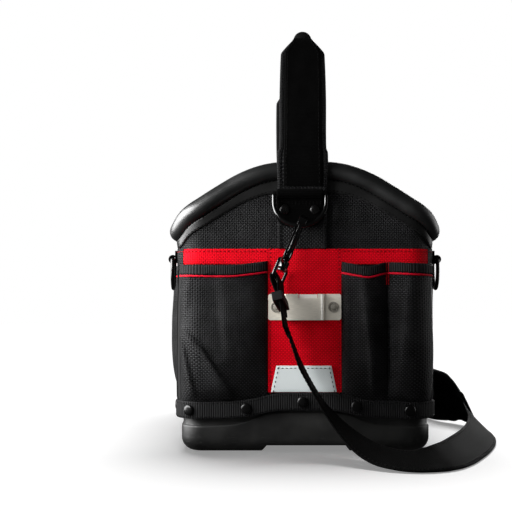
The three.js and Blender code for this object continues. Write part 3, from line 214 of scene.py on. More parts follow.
def meshFrom(name, shape):
    mesh = bpy.data.meshes.new(name)
    shape.to_mesh(mesh)
    shape.free()
    return mesh


# A mesh through a row of sections, each a closed loop of points. UVs are metres along and
# across, so that a weave keeps its size.
def sectionMesh(name, sections, us, vOf, material, closed=False, flatEnds=False, sharp=50):
    count = len(sections)
    size = len(sections[0])
    points = [p for section in sections for p in section]
    faces = []
    corners = []
    for i in range(count if closed else count - 1):
        following = (i + 1) % count
        for j in range(size):
            k = (j + 1) % size
            faces.append((i * size + j, following * size + j, following * size + k, i * size + k))
            corners.append((
                (us[i], vOf(i, j)), (us[i + 1], vOf(following, j)),
                (us[i + 1], vOf(following, j + 1)), (us[i], vOf(i, j + 1)),
            ))
    if flatEnds:
        for i in (0, count - 1):
            faces.append(tuple(i * size + j for j in range(size)))
            corners.append(tuple((us[i], vOf(i, j)) for j in range(size)))
    elif not closed:
        for i in (0, count - 1):
            for j in range(size // 2 - 1):
                ends = (j, j + 1, size - 2 - j, size - 1 - j)
                faces.append(tuple(i * size + e for e in ends))
                corners.append(tuple((us[i] + 0.002 * (e in ends[2:]), vOf(i, e)) for e in ends))
    mesh = bpy.data.meshes.new(name)
    mesh.from_pydata(points, [], faces)
    cloth = mesh.uv_layers.new(name="cloth")
    flat = [value for face in corners for corner in face for value in corner]
    cloth.data.foreach_set("uv", flat)
    return settleMesh(name, mesh, material, sharp)


def settleMesh(name, mesh, material, sharp=50):
    shape = bmesh.new()
    shape.from_mesh(mesh)
    bmesh.ops.recalc_face_normals(shape, faces=shape.faces)
    shape.to_mesh(mesh)
    shape.free()
    mesh.shade_smooth()
    mesh.set_sharp_from_angle(angle=math.radians(sharp))
    mesh.materials.clear()
    mesh.materials.append(material)
    return addObject(name, mesh)


def settle(piece, nodes=(), body=mainBody):
    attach(piece, body)
    if nodes:
        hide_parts(*nodes)
    return piece


# A sheet that follows the wall. standOf gives how far its inner skin is off the wall, and
# reliefOf what its outer skin has more than its thickness.
def wallSheet(
    name, alongs, lowOf, highOf, standOf, thickness, rows, material, closed=False, reliefOf=None,
):
    sections = []
    heights = []
    for along in alongs[:-1] if closed else alongs:
        low = lowOf(along)
        high = highOf(along)
        outer = []
        inner = []
        for v in spread(0, 1, rows):
            z = low + (high - low) * v
            stand = standOf(along, v, z)
            edge = min(z - low, high - z) / (thickness * 0.5)
            rounded = thickness * (0.72 + 0.28 * math.sqrt(1 - (1 - clamp(edge)) ** 2))
            relief = reliefOf(along, v, z) if reliefOf else 0
            outer.append((onWall(along, z, stand + rounded + relief), z))
            inner.append((onWall(along, z, stand), z))
        loop = outer + inner[::-1]
        sections.append([p for p, _ in loop])
        heights.append([z for _, z in loop])
    size = len(heights[0])
    return sectionMesh(
        name, sections, alongs, lambda i, j: heights[i][j % size], material, closed=closed,
    )


# Points round a centre, from one direction towards another.
def circle(centre, first, second, radius, sides):
    angles = [2 * math.pi * j / sides for j in range(sides)]
    return [centre + first * radius * math.cos(a) + second * radius * math.sin(a) for a in angles]


# A round wire along a closed or open path of points.
def wireMesh(name, path, radius, sides, normal, material, closed=True):
    count = len(path)
    sections = []
    us = [0.0]
    for i, p in enumerate(path):
        before = path[i - 1] if closed or i > 0 else p
        after = path[(i + 1) % count] if closed or i < count - 1 else p
        tangent = (after - before).normalized()
        side = normal.cross(tangent).normalized()
        sections.append(circle(p, side, tangent.cross(side), radius, sides))
        us.append(us[-1] + (path[(i + 1) % count] - p).length)
    step = 2 * math.pi * radius / sides
    return sectionMesh(name, sections, us, lambda i, j: j * step, material, closed=closed)


# A smooth curve through points, spaced by the root of their distances.
def smoothPath(points, count):
    stretched = [2 * points[0] - points[1], *points, 2 * points[-1] - points[-2]]
    path = []
    for i in range(count + 1):
        place = (len(points) - 1) * i / count
        k = min(int(place), len(points) - 2)
        t = place - k
        p0, p1, p2, p3 = stretched[k:k + 4]
        d0 = (p1 - p0).length ** 0.5
        d1 = (p2 - p1).length ** 0.5
        d2 = (p3 - p2).length ** 0.5
        m1 = ((p1 - p0) / d0 - (p2 - p0) / (d0 + d1) + (p2 - p1) / d1) * d1
        m2 = ((p2 - p1) / d1 - (p3 - p1) / (d1 + d2) + (p3 - p2) / d2) * d1
        path.append(
            p1 * (2 * t ** 3 - 3 * t ** 2 + 1) + m1 * (t ** 3 - 2 * t ** 2 + t)
            + p2 * (3 * t ** 2 - 2 * t ** 3) + m2 * (t ** 3 - t ** 2)
        )
    return path


# Adds to each station of a strap its own directions: along it, across it and out of it.
def faceStations(stations):
    for i, station in enumerate(stations):
        before = stations[max(i - 1, 0)]["point"]
        after = stations[min(i + 1, len(stations) - 1)]["point"]
        tangent = (after - before).normalized()
        across = station["across"]
        across = (across - tangent * across.dot(tangent)).normalized()
        station["tangent"] = tangent
        station["wide"] = across
        station["face"] = tangent.cross(across)
    return stations


# Webbing along stations, from one distance off its middle line to another, with rounded
# selvedges. proudOf adds to either skin: station number, share across, which skin.
def strapMesh(name, stations, material, columns=14, proudOf=None):
    sections = []
    us = [0.0]
    shares = [-math.cos(math.pi * j / columns) for j in range(columns + 1)]
    for i, station in enumerate(stations):
        low = station["from"]
        high = station["to"]
        middle = (low + high) / 2
        half = (high - low) / 2
        loop = []
        for skin, order in ((1, shares), (-1, shares[::-1])):
            for share in order:
                inset = (1 - abs(share)) * station["width"] / 2
                edge = clamp(inset / abs(half))
                out = half * skin * (0.45 + 0.55 * math.sqrt(1 - (1 - edge) ** 2))
                if proudOf:
                    out += proudOf(i, share, skin)
                wide = station["wide"] * (share * station["width"] / 2)
                loop.append(station["point"] + wide + station["face"] * (middle + out))
        sections.append(loop)
        if i:
            us.append(us[-1] + (station["point"] - stations[i - 1]["point"]).length)
    us.append(us[-1])
    order = shares + shares[::-1]
    widths = [station["width"] / 2 for station in stations]
    size = len(order)
    return sectionMesh(
        name, sections, us, lambda i, j: order[j % size] * widths[i], material,
    )


# A small cast piece: its carried-over solid with every edge softened.
def castPiece(name, node, passes, material, body=mainBody):
    shape = bmesh.new()
    shape.from_mesh(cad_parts[node].data)
    piece = addObject(name, meshFrom(name, shape))
    addModifier(piece, "REMESH", mode="VOXEL", voxel_size=0.0004)
    addModifier(piece, "SMOOTH", factor=0.5, iterations=passes)
    piece = settleMesh(name, bakeMesh(piece), material, 80)
    settle(piece, [node], body)


# Node trees for materials

def setInputs(tree, node, inputs):
    for key, value in inputs.items():
        if isinstance(value, bpy.types.NodeSocket):
            tree.links.new(value, node.inputs[key])
        else:
            node.inputs[key].default_value = value


def addNode(tree, kind, inputs=None, **settings):
    made = tree.nodes.new(kind)
    for key, value in settings.items():
        setattr(made, key, value)
    setInputs(tree, made, inputs or {})
    return made


def calculate(tree, operation, *values):
    inputs = dict(enumerate(values))
    return addNode(tree, "ShaderNodeMath", inputs, operation=operation).outputs[0]


def blendColour(tree, share, first, second):
    inputs = {0: share, 6: first, 7: second}
    return addNode(tree, "ShaderNodeMix", inputs, data_type="RGBA").outputs[2]


def cloud(tree, vector, scale, detail=3.0):
    inputs = {"Vector": vector, "Scale": scale, "Detail": detail}
    return addNode(tree, "ShaderNodeTexNoise", inputs).outputs[0]


def mapShare(tree, value, low, high, to=(0.0, 1.0)):
    inputs = {"Value": value, "From Min": low, "From Max": high, "To Min": to[0], "To Max": to[1]}
    return addNode(tree, "ShaderNodeMapRange", inputs).outputs[0]


# Cloudy patches: the middle of the noise, stretched to a range.
def patches(tree, vector, scale, detail, to):
    return mapShare(tree, cloud(tree, vector, scale, detail), 0.3, 0.7, to)


def startMaterial(name, roughness, specular, metallic=0.0, sheen=0.0):
    material = bpy.data.materials.new(name)
    material.use_nodes = True
    tree = material.node_tree
    tree.nodes.clear()
    shader = addNode(tree, "ShaderNodeBsdfPrincipled", {
        "Roughness": roughness, "Specular IOR Level": specular, "Metallic": metallic,
        "Sheen Weight": sheen, "Sheen Roughness": 0.4,
    })
    addNode(tree, "ShaderNodeOutputMaterial", {0: shader.outputs[0]})
    return material, tree, shader


# A colour between two, and a bump from a height.
def paint(tree, shader, share, first, second, height, depth, roughness=None):
    bump = addNode(tree, "ShaderNodeBump", {"Height": height, "Distance": depth, "Strength": 1.0})
    inputs = {
        "Base Color": blendColour(tree, share, (*first, 1), (*second, 1)),
        "Normal": bump.outputs[0],
    }
    if roughness:
        inputs["Roughness"] = roughness
    setInputs(tree, shader, inputs)


def clothPlace(tree):
    return addNode(tree, "ShaderNodeUVMap", uv_map="cloth").outputs[0]


def objectPlace(tree):
    return addNode(tree, "ShaderNodeTexCoord").outputs["Object"]


# The place with its height stretched, so that a cloud becomes streaks.
def streakPlace(tree, stretch):
    inputs = {"Vector": objectPlace(tree), "Scale": (1, 1, stretch)}
    return addNode(tree, "ShaderNodeMapping", inputs).outputs[0]


def wave(tree, value, scale):
    turned = calculate(tree, "MULTIPLY", value, scale)
    return calculate(tree, "ABSOLUTE", calculate(tree, "SINE", turned))


# Yarns over and under each other: in one square the warp is on top, in the next the weft. Gives the height,
# and a painted sheen: the square with the warp on top is lighter than the next.
def weaveHeight(tree, pitch):
    parts = addNode(tree, "ShaderNodeSeparateXYZ", {0: clothPlace(tree)})
    u, v = (calculate(tree, "DIVIDE", part, pitch) for part in parts.outputs[:2])
    squares = calculate(tree, "ADD", calculate(tree, "FLOOR", u), calculate(tree, "FLOOR", v))
    onTop = calculate(tree, "FLOORED_MODULO", squares, 2.0)
    acrossU = wave(tree, u, math.pi)
    acrossV = wave(tree, v, math.pi)
    dome = calculate(tree, "MULTIPLY", acrossU, acrossV)
    ridge = addNode(tree, "ShaderNodeMix", {0: onTop, 2: acrossU, 3: acrossV}).outputs[0]
    low = calculate(tree, "MULTIPLY", ridge, 0.6)
    height = calculate(tree, "ADD", low, calculate(tree, "MULTIPLY", dome, 0.4))
    return height, calculate(tree, "ADD", calculate(tree, "MULTIPLY", onTop, 0.65), 0.35)


def wovenMaterial(name, deep, light, pitch, depth, roughness, specular):
    material, tree, shader = startMaterial(name, roughness, specular, sheen=clothSheen)
    height, shade = weaveHeight(tree, pitch)
    worn = patches(tree, clothPlace(tree), 45.0, 4.0, (-0.15, 0.15))
    # The colour follows the height, so the dips between yarns are darker, a painted shade; the cloudy
    # patches are random tone.
    lit = calculate(tree, "MULTIPLY", calculate(tree, "POWER", height, 1.6), shade)
    paint(tree, shader, calculate(tree, "ADD", lit, worn), deep, light, height, depth)
    return material


# Ribs across the strip with fine threads along it. The colour follows the height, darker in the grooves: a
# painted shade.
def ribbedMaterial(name, deep, light, pitch, depth, roughness, specular):
    material, tree, shader = startMaterial(name, roughness, specular, sheen=clothSheen)
    parts = addNode(tree, "ShaderNodeSeparateXYZ", {0: clothPlace(tree)})
    ribs = wave(tree, parts.outputs[0], math.pi / pitch)
    threads = wave(tree, parts.outputs[1], math.pi / (pitch * 0.45))
    height = calculate(tree, "ADD", ribs, calculate(tree, "MULTIPLY", threads, 0.25))
    worn = patches(tree, clothPlace(tree), 60.0, 3.0, (-0.12, 0.12))
    # Darker in the grooves between ribs and threads: a painted shade.
    share = calculate(tree, "ADD", calculate(tree, "MULTIPLY", height, 0.75), worn)
    paint(tree, shader, share, deep, light, height, depth)
    return material


# Smooth moulded or coated surfaces with a fine grain and slow changes of gloss.
def grainedMaterial(name, colour, roughness, specular, grain, depth, coat=0.0):
    material, tree, shader = startMaterial(name, roughness, specular)
    place = objectPlace(tree)
    slow = cloud(tree, place, 30.0, 4.0)
    lighter = tuple(c * 1.4 + 0.001 for c in colour)
    gloss = mapShare(tree, slow, 0.3, 0.7, (roughness - 0.06, roughness + 0.08))
    setInputs(tree, shader, {"Coat Weight": coat, "Coat Roughness": 0.25})
    share = mapShare(tree, slow, 0.35, 0.75)
    paint(tree, shader, share, colour, lighter, cloud(tree, place, grain, 2.0), depth, gloss)
    return material


# Moulded plastic, lighter and greyer low on the feet and in cloudy patches: partly scuffs and dust, partly
# a painted highlight.
def scuffAndSheenMaterial(name, colour, scuffAndSheen):
    material, tree, shader = startMaterial(name, 0.5, 0.35)
    place = objectPlace(tree)
    parts = addNode(tree, "ShaderNodeSeparateXYZ", {0: place})
    low = mapShare(tree, parts.outputs[2], 0.002, 0.024, (1.0, 0.0))
    # Streaks low on the feet and cloudy patches, lighter in colour: partly wear, partly a painted
    # highlight.
    scuffAndSheenMarks = mapShare(tree, cloud(tree, streakPlace(tree, 5), 150.0, 5.0), 0.55, 0.7)
    worn = calculate(tree, "MULTIPLY", scuffAndSheenMarks, calculate(tree, "POWER", low, 0.7))
    dustAndSheen = mapShare(tree, cloud(tree, place, 25.0), 0.35, 0.7, (0.0, 0.35))
    share = calculate(tree, "MAXIMUM", calculate(tree, "MULTIPLY", worn, 0.6), dustAndSheen)
    gloss = mapShare(tree, share, 0.0, 0.6, (0.42, 0.62))
    paint(tree, shader, share, colour, scuffAndSheen, cloud(tree, place, 1400.0, 2.0), 0.0001, gloss)
    return material


# Metal with fine lines along the clip.
def brushedMaterial(name, colour):
    material, tree, shader = startMaterial(name, 0.36, 0.5, metallic=0.15)
    lines = cloud(tree, streakPlace(tree, 30), 160.0, 4.0)
    deep = tuple(c * 0.72 for c in colour)
    gloss = mapShare(tree, lines, 0.3, 0.7, (0.3, 0.46))
    paint(tree, shader, mapShare(tree, lines, 0.3, 0.7), deep, colour, lines, 0.00004, gloss)
    return material


def grey(value):
    return (value, value, value)


clothSheen = 0.006
# dark colour, light colour, pitch, depth, roughness, specular
wovenFinishes = {
    "ballistic": (grey(0.0), (0.026, 0.026, 0.0272), 0.0019, 0.0005, 0.42, 0.07),
    "red": ((0.38, 0.0, 0.003), (0.84, 0.001, 0.016), 0.0019, 0.0004, 0.7, 0.05),
    "piping": ((0.3, 0.0, 0.008), (0.75, 0.002, 0.025), 0.0006, 0.0001, 0.6, 0.1),
    "pad": (grey(0.0008), (0.006, 0.006, 0.0064), 0.0014, 0.0002, 0.7, 0.06),
    "reflective": ((0.56, 0.6, 0.6), (0.66, 0.7, 0.7), 0.0011, 0.00008, 0.45, 0.3),
}
ribbedFinishes = {
    "ribbed": (grey(0.0003), (0.01, 0.01, 0.0105), 0.0023, 0.0006, 0.7, 0.12),
    "strap": (grey(0.0001), grey(0.0016), 0.0016, 0.0002, 0.75, 0.02),
}
# colour, roughness, specular, scale of the grain, its depth, coat
grainedFinishes = {
    "vinyl": ((0.0016, 0.0018, 0.0018), 0.4, 0.9, 900.0, 0.00005),
    "binding": (grey(0.003), 0.4, 0.45, 900.0, 0.00005),
    "metal": (grey(0.0006), 0.12, 0.5, 700.0, 0.000004, 0.3),
    "rivetBlack": (grey(0.0015), 0.26, 0.35, 900.0, 0.00001),
    "rubber": (grey(0.0012), 0.6, 0.12, 500.0, 0.00008),
    "blackThread": (grey(0.0006), 0.7, 0.08, 800.0, 0.00003),
    "redThread": ((0.2, 0.0, 0.003), 0.6, 0.1, 800.0, 0.00003),
    "greyThread": ((0.06, 0.064, 0.064), 0.6, 0.3, 800.0, 0.00003),
}
# the lightest steel is a painted highlight, laid on the clip's notch lip and its right bend
brushedFinishes = {
    "steel": (0.8, 0.75, 0.65), "brightSteel": (0.95, 0.92, 0.86), "rivetSteel": (0.3, 0.28, 0.24),
}
finishes = {"moulded": scuffAndSheenMaterial("moulded", grey(0.0045), (0.04, 0.04, 0.038))}
for make, rows in (
    (wovenMaterial, wovenFinishes), (ribbedMaterial, ribbedFinishes),
    (grainedMaterial, grainedFinishes),
):
    for name, row in rows.items():
        finishes[name] = make(name, *row)
for name, colour in brushedFinishes.items():
    finishes[name] = brushedMaterial(name, colour)
print("materials made")


# Stitches and rivets, repeated by Geometry Nodes

def startTree(name, sockets):
    tree = bpy.data.node_groups.new(name, "GeometryNodeTree")
    for socket, kind in {"Geometry": "Geometry", **sockets}.items():
        tree.interface.new_socket(socket, in_out="INPUT", socket_type="NodeSocket" + kind)
    tree.interface.new_socket("Geometry", in_out="OUTPUT", socket_type="NodeSocketGeometry")
    return tree, addNode(tree, "NodeGroupInput").outputs


# Puts one thing on every point, turned to a direction, as real geometry in one material.
def placeOnPoints(tree, points, thing, direction, finish, scale=None):
    turn = addNode(tree, "FunctionNodeAlignRotationToVector", {"Vector": direction}, axis="Z")
    inputs = {"Points": points, "Instance": thing, "Rotation": turn.outputs[0]}
    if scale:
        inputs["Scale"] = scale
    placed = addNode(tree, "GeometryNodeInstanceOnPoints", inputs)
    real = addNode(tree, "GeometryNodeRealizeInstances", {"Geometry": placed.outputs[0]})
    inputs = {"Geometry": real.outputs[0], "Material": finish}
    painted = addNode(tree, "GeometryNodeSetMaterial", inputs)
    addNode(tree, "NodeGroupOutput", {0: painted.outputs[0]})


# Stitches at even steps along the edges of a mesh of lines.
def stitchTree():
    sockets = {"Spacing": "Float", "Length": "Float", "Radius": "Float", "Thread": "Material"}
    tree, given = startTree("stitches", sockets)
    curve = addNode(tree, "GeometryNodeMeshToCurve", {"Mesh": given["Geometry"]})
    inputs = {"Curve": curve.outputs[0], "Length": given["Spacing"]}
    steps = addNode(tree, "GeometryNodeResampleCurve", inputs, mode="LENGTH")
    thread = addNode(tree, "GeometryNodeMeshIcoSphere", {"Radius": 1.0, "Subdivisions": 1})
    half = calculate(tree, "MULTIPLY", given["Length"], 0.5)
    inputs = {0: given["Radius"], 1: given["Radius"], 2: half}
    size = addNode(tree, "ShaderNodeCombineXYZ", inputs)
    tangent = addNode(tree, "GeometryNodeInputTangent")
    placeOnPoints(
        tree, steps.outputs[0], thread.outputs["Mesh"], tangent.outputs[0], given["Thread"],
        size.outputs[0],
    )
    return tree


# A head at each point, turned to that point's own outward direction.
def rivetTree():
    tree, given = startTree("rivets", {"Head": "Object", "Finish": "Material"})
    head = addNode(tree, "GeometryNodeObjectInfo", {"Object": given["Head"]})
    outward = addNode(
        tree, "GeometryNodeInputNamedAttribute", {"Name": "outward"}, data_type="FLOAT_VECTOR",
    )
    placeOnPoints(
        tree, given["Geometry"], head.outputs["Geometry"], outward.outputs[0], given["Finish"],
    )
    return tree


stitches = stitchTree()
rivetHeads = rivetTree()


def runTree(name, mesh, tree, values):
    carrier = addObject(name, mesh)
    modifier = addModifier(carrier, "NODES", node_group=tree)
    for item in tree.interface.items_tree:
        if item.in_out == "INPUT" and item.name in values:
            modifier[item.identifier] = values[item.name]
    return bakeMesh(carrier)


# Stitches along lines of points.
def sew(name, lines, thread, spacing=0.0042, length=0.0032, radius=0.00045):
    points = [p for line in lines for p in line]
    edges = []
    start = 0
    for line in lines:
        edges += [(start + i, start + i + 1) for i in range(len(line) - 1)]
        start += len(line)
    mesh = bpy.data.meshes.new(name)
    mesh.from_pydata(points, edges, [])
    values = {"Spacing": spacing, "Length": length, "Radius": radius, "Thread": finishes[thread]}
    made = runTree(name, mesh, stitches, values)
    made.shade_smooth()
    settle(addObject(name, made))


# share of the radius, share of the rise
headRows = {
    "dome": [
        (0, -0.1), (0.96, -0.1), (1, 0.02), (1, 0.16), (0.96, 0.34), (0.87, 0.5), (0.72, 0.6),
        (0.5, 0.67), (0.25, 0.7), (0, 0.71),
    ],
    "ring": [
        (0, -0.1), (0.94, -0.1), (1, 0.1), (1, 0.45), (0.95, 0.6), (0.84, 0.62), (0.78, 0.5),
        (0.72, 0.2), (0.6, 0.15), (0.54, 0.5), (0.48, 0.78), (0.34, 0.9), (0.15, 0.92), (0, 0.92),
    ],
}


def rivetHead(diameter, rise, rows):
    shape = bmesh.new()
    line = [shape.verts.new((r * diameter / 2, 0, h * rise)) for r, h in rows]
    edges = [shape.edges.new(pair) for pair in zip(line, line[1:])]
    bmesh.ops.spin(
        shape, geom=line + edges, cent=(0, 0, 0), axis=(0, 0, 1), angle=2 * math.pi, steps=28,
        use_merge=True,
    )
    bmesh.ops.remove_doubles(shape, verts=shape.verts, dist=1e-6)
    return settleMesh("head", meshFrom("head", shape), finishes["metal"], 40)


def addRivets(name, places, diameter, rise, finishName, nodes, shapeName="dome"):
    head = rivetHead(diameter, rise, headRows[shapeName])
    mesh = bpy.data.meshes.new(name)
    mesh.from_pydata([p for p, _ in places], [], [])
    outward = mesh.attributes.new("outward", "FLOAT_VECTOR", "POINT")
    outward.data.foreach_set("vector", [c for _, n in places for c in n])
    made = runTree(name, mesh, rivetHeads, {"Head": head, "Finish": finishes[finishName]})
    bpy.data.objects.remove(head)
    settle(addObject(name, made), nodes)


ringColumns = spread(0, perimeter, 320)

# The moulded base: a tray on four feet, with an arch under each side
baseTray = {
    "height": 0.064,
    "wall": 0.004,
    "floorTop": 0.012,
    "fillet": 0.014,
    "footProud": 0.0018,
    "archHeight": 0.008,
    "archDepth": 0.05,
    # width, distance from the middle, turn in degrees
    "arches": [
        (0.09, halfLength, 0), (0.09, halfLength, 180), (0.22, halfWidth, 90), (0.22, halfWidth, 270),
    ],
}


def archCutters():
    shape = bmesh.new()
    rise = baseTray["archHeight"]
    for width, reach, turn in baseTray["arches"]:
        angle = math.radians(turn)
        across = Vector((math.cos(angle), math.sin(angle), 0))
        outward = Vector((math.sin(angle), -math.cos(angle), 0))
        wide = width / 2 + 0.002
        narrow = width / 2 - rise * 0.6
        rings = []
        for distance in (reach - baseTray["archDepth"], reach + 0.01):
            outline = [(-wide, -0.001), (wide, -0.001), (narrow, rise), (-narrow, rise)]
            rings.append([
                shape.verts.new(outward * distance + across * x + upward * z) for x, z in outline
            ])
        for j in range(4):
            k = (j + 1) % 4
            shape.faces.new((rings[0][j], rings[0][k], rings[1][k], rings[1][j]))
        shape.faces.new(rings[0])
        shape.faces.new(rings[1])
    bmesh.ops.recalc_face_normals(shape, faces=shape.faces)
    return addObject("arches", meshFrom("arches", shape))


def makeBase():
    seat = -tote["wall"] - gap
    foot = seat - gap
    fillet = baseTray["fillet"]
    proud = baseTray["footProud"]
    rows = []
    for i in range(9):
        angle = math.radians(90 * i / 8)
        rows.append((fillet * (1 - math.cos(angle)), foot - fillet * (1 - math.sin(angle)), 0))
    rows += [
        (-0.0016, foot, 1), (-0.0006, foot - proud * 0.12, 1), (0.0002, foot - proud * 0.5, 1),
        (0.001, foot - proud, 1), (tote["ridgeHigh"] + 0.003, foot - proud, 0),
        (tote["ridgeHigh"] + 0.005, seat, 0), (baseTray["height"] - 0.001, seat, 0),
        (baseTray["height"], seat - 0.001, 0), (baseTray["height"], seat - baseTray["wall"] + 0.001, 0),
        (baseTray["height"] - 0.001, seat - baseTray["wall"], 0),
        (baseTray["floorTop"] + 0.003, seat - baseTray["wall"], 0),
        (baseTray["floorTop"], seat - baseTray["wall"] - 0.003, 0),
    ]
    columns = ringColumns[:-1]
    rings = [
        [onWall(along, z + (ridgeHeight(along) if onRidge else 0), out) for along in columns]
        for z, out, onRidge in rows
    ]
    us = [0.002 * i for i in range(len(rings) + 1)]
    solid = sectionMesh(
        "base", rings, us, lambda i, j: ringColumns[j], finishes["moulded"], flatEnds=True,
    )
    cutter = archCutters()
    addModifier(solid, "BOOLEAN", operation="DIFFERENCE", solver="EXACT", object=cutter)
    addModifier(
        solid, "BEVEL", width=0.0007, segments=2, limit_method="ANGLE", angle_limit=math.radians(40),
    )
    mesh = bakeMesh(solid)
    bpy.data.objects.remove(cutter)
    settle(settleMesh("tray", mesh, finishes["moulded"], 32), ["base_tray"])


makeBase()
print("base made")


# The fabric wall, the padded rim and the strip over the foot of the fabric
# wrinkles beside the handle: x on the near end, height of the middle, half height, half width,
# proud
wrinkles = [
    (0.0295, 0.238, 0.026, 0.0022, 0.0011), (0.0355, 0.232, 0.02, 0.0026, 0.0009),
    (-0.036, 0.236, 0.018, 0.003, 0.0006),
]
# how far the middle of a thread lies above the cloth that it is sewn to
threadLift = 0.0001
binding = {"height": 0.0082, "humpExtra": 0.0048, "thickness": 0.0015}
trim = {"thickness": 0.003, "stitchInset": 0.0022}


def shellRelief(along, _, z):
    relief = ripple(along * 16, z * 13, 1, 0.0002) + ripple(along * 45, z * 30, 2, 0.00007)
    x, _, _, ny, _ = outlinePoint(along)
    if ny < -0.5:
        for middle, height, halfHigh, halfWide, proud in wrinkles:
            up = clamp(1 - ((z - height) / halfHigh) ** 2)
            aside = x - middle - (z - height) * 0.06
            relief += proud * up * math.exp(-(aside / halfWide) ** 2)
    return relief


def makeWall():
    low = lambda along: trimMiddle(along) - tote["trimHeight"] / 2 + 0.002
    shell = wallSheet(
        "shell", ringColumns, low, wallTop, lambda *_: -tote["wall"], tote["wall"], 44,
        finishes["ballistic"], closed=True, reliefOf=shellRelief,
    )
    settle(shell, ["body_shell"])

    path = [onWall(along, rimHeight(along), 0.0004) for along in ringColumns[:-1]]
    count = len(path)
    sides = 28
    sections = []
    for i, p in enumerate(path):
        tangent = (path[(i + 1) % count] - path[i - 1]).normalized()
        outward = tangent.cross(upward).normalized()
        above = outward.cross(tangent)
        along = ringColumns[i]
        loop = []
        for j in range(sides):
            angle = 2 * math.pi * j / sides
            toSeam = clamp(-math.sin(angle + 0.5)) ** 2
            puckers = ripple(along * 170, angle * 0.4, 4, 0.0006) * toSeam
            lumps = ripple(along * 22, math.cos(angle) * 0.7, 5, 0.0003)
            radius = tote["rimRadius"] + puckers + lumps
            loop.append(p + outward * radius * math.cos(angle) + above * radius * math.sin(angle))
        sections.append(loop)
    step = 2 * math.pi * tote["rimRadius"] / sides
    tube = sectionMesh(
        "rim", sections, ringColumns, lambda i, j: j * step, finishes["vinyl"], closed=True,
    )
    settle(tube, ["rim_tube"])

    def bindingLow(along):
        return wallTop(along) - binding["height"] - binding["humpExtra"] * (1 - acrossEnd(along))

    strip = wallSheet(
        "rimBinding", ringColumns, bindingLow, lambda along: wallTop(along) + 0.0006,
        lambda along, v, z: gap + 0.0013 * v ** 2, binding["thickness"], 10, finishes["binding"],
        closed=True,
        reliefOf=lambda along, v, z: 0.0005 * math.sin(math.pi * v) + ripple(along * 60, v, 7, 0.00022),
    )
    settle(strip, ["rim_binding"])

    onBinding = gap + binding["thickness"] + threadLift
    lines = [
        [onWall(s, wallTop(s) + 0.0008, gap + 0.0032) for s in ringColumns],
        [onWall(s, bindingLow(s) + 0.0017, onBinding) for s in ringColumns],
    ]

    half = tote["trimHeight"] / 2
    band = wallSheet(
        "bottomTrim", ringColumns, lambda s: trimMiddle(s) - half, lambda s: trimMiddle(s) + half,
        lambda *_: gap, trim["thickness"] - 0.0003, 14, finishes["ribbed"], closed=True,
        reliefOf=lambda along, v, z: 0.0003 * math.sin(math.pi * v) + ripple(along * 40, v * 2, 9, 0.00015),
    )
    settle(band, ["bottom_trim"])
    for way in (-1, 1):
        inset = way * (half - trim["stitchInset"])
        out = trim["thickness"] + threadLift
        lines.append([onWall(s, trimMiddle(s) + inset, out) for s in ringColumns])
    sew("rimAndTrimStitches", lines, "blackThread")


makeWall()
print("wall made")


rivets = {
    "diameter": 0.0115,
    "rise": 0.004,
    "seat": trim["thickness"] + 0.0005,
    # shares of half the width, and of half the length
    "shares": [-0.9, -0.465, -0.03, 0.385, 0.8],
    "sideShares": [-0.72, -0.26, 0.26, 0.72],
}


def makeTrimRivets():
    shares = rivets["shares"]
    sideShares = rivets["sideShares"]
    alongs = [middle + share * halfWidth for middle in (0, perimeter / 2) for share in shares]
    alongs += [
        middle + share * halfLength for middle in (perimeter / 4, 3 * perimeter / 4)
        for share in sideShares
    ]
    places = []
    for along in alongs:
        _, _, nx, ny, _ = outlinePoint(along)
        places.append((onWall(along, trimMiddle(along), rivets["seat"]), (nx, ny, 0)))
    nodes = [f"rivet_{end}_{i + 1}" for end in ("near", "far") for i in range(len(shares))]
    addRivets(
        "trimRivets", places, rivets["diameter"], rivets["rise"], "rivetBlack", nodes,
    )


makeTrimRivets()


# Red centre panels, the red band behind the pockets, and the reflective patch
panel = {
    "top": 0.211,
    "bottom": 0.0625,
    "width": 0.076,
    "shift": -0.0016,
    "thickness": 0.0018,
    "bandHeight": 0.016,
    "bandThickness": 0.0015,
    "stitchInset": 0.0024,
    "seamWidth": 0.0012,
    "seamDepth": 0.00035,
    "bandStitchInset": 0.0026,
    "cornerFrom": endFlat + cornerArc * 0.52,
    "cornerTo": endFlat + cornerArc + 0.026,
}
patch = {
    "height": 0.027, "topWidth": 0.057, "bottomWidth": 0.068, "thickness": 0.0009, "inset": 0.0026,
}
panelLeft = panel["shift"] - panel["width"] / 2
panelRight = panel["shift"] + panel["width"] / 2
farMiddle = perimeter / 2
# the middle of the end that each corner belongs to, and the way to the corner
corners = ((0, 1), (0, -1), (farMiddle, 1), (farMiddle, -1))


def panelRelief(along, _, z):
    inset = min(along - panelLeft, panelRight - along) if along < perimeter / 4 else 0.01
    fromSeam = (inset - panel["stitchInset"]) / panel["seamWidth"]
    seam = -panel["seamDepth"] * math.exp(-fromSeam ** 2)
    return seam + ripple(along * 26, z * 18, 11, 0.00028)


def bandRelief(along, v, _):
    return 0.0002 * math.sin(math.pi * v) + ripple(along * 30, v * 1.5, 12, 0.00022)


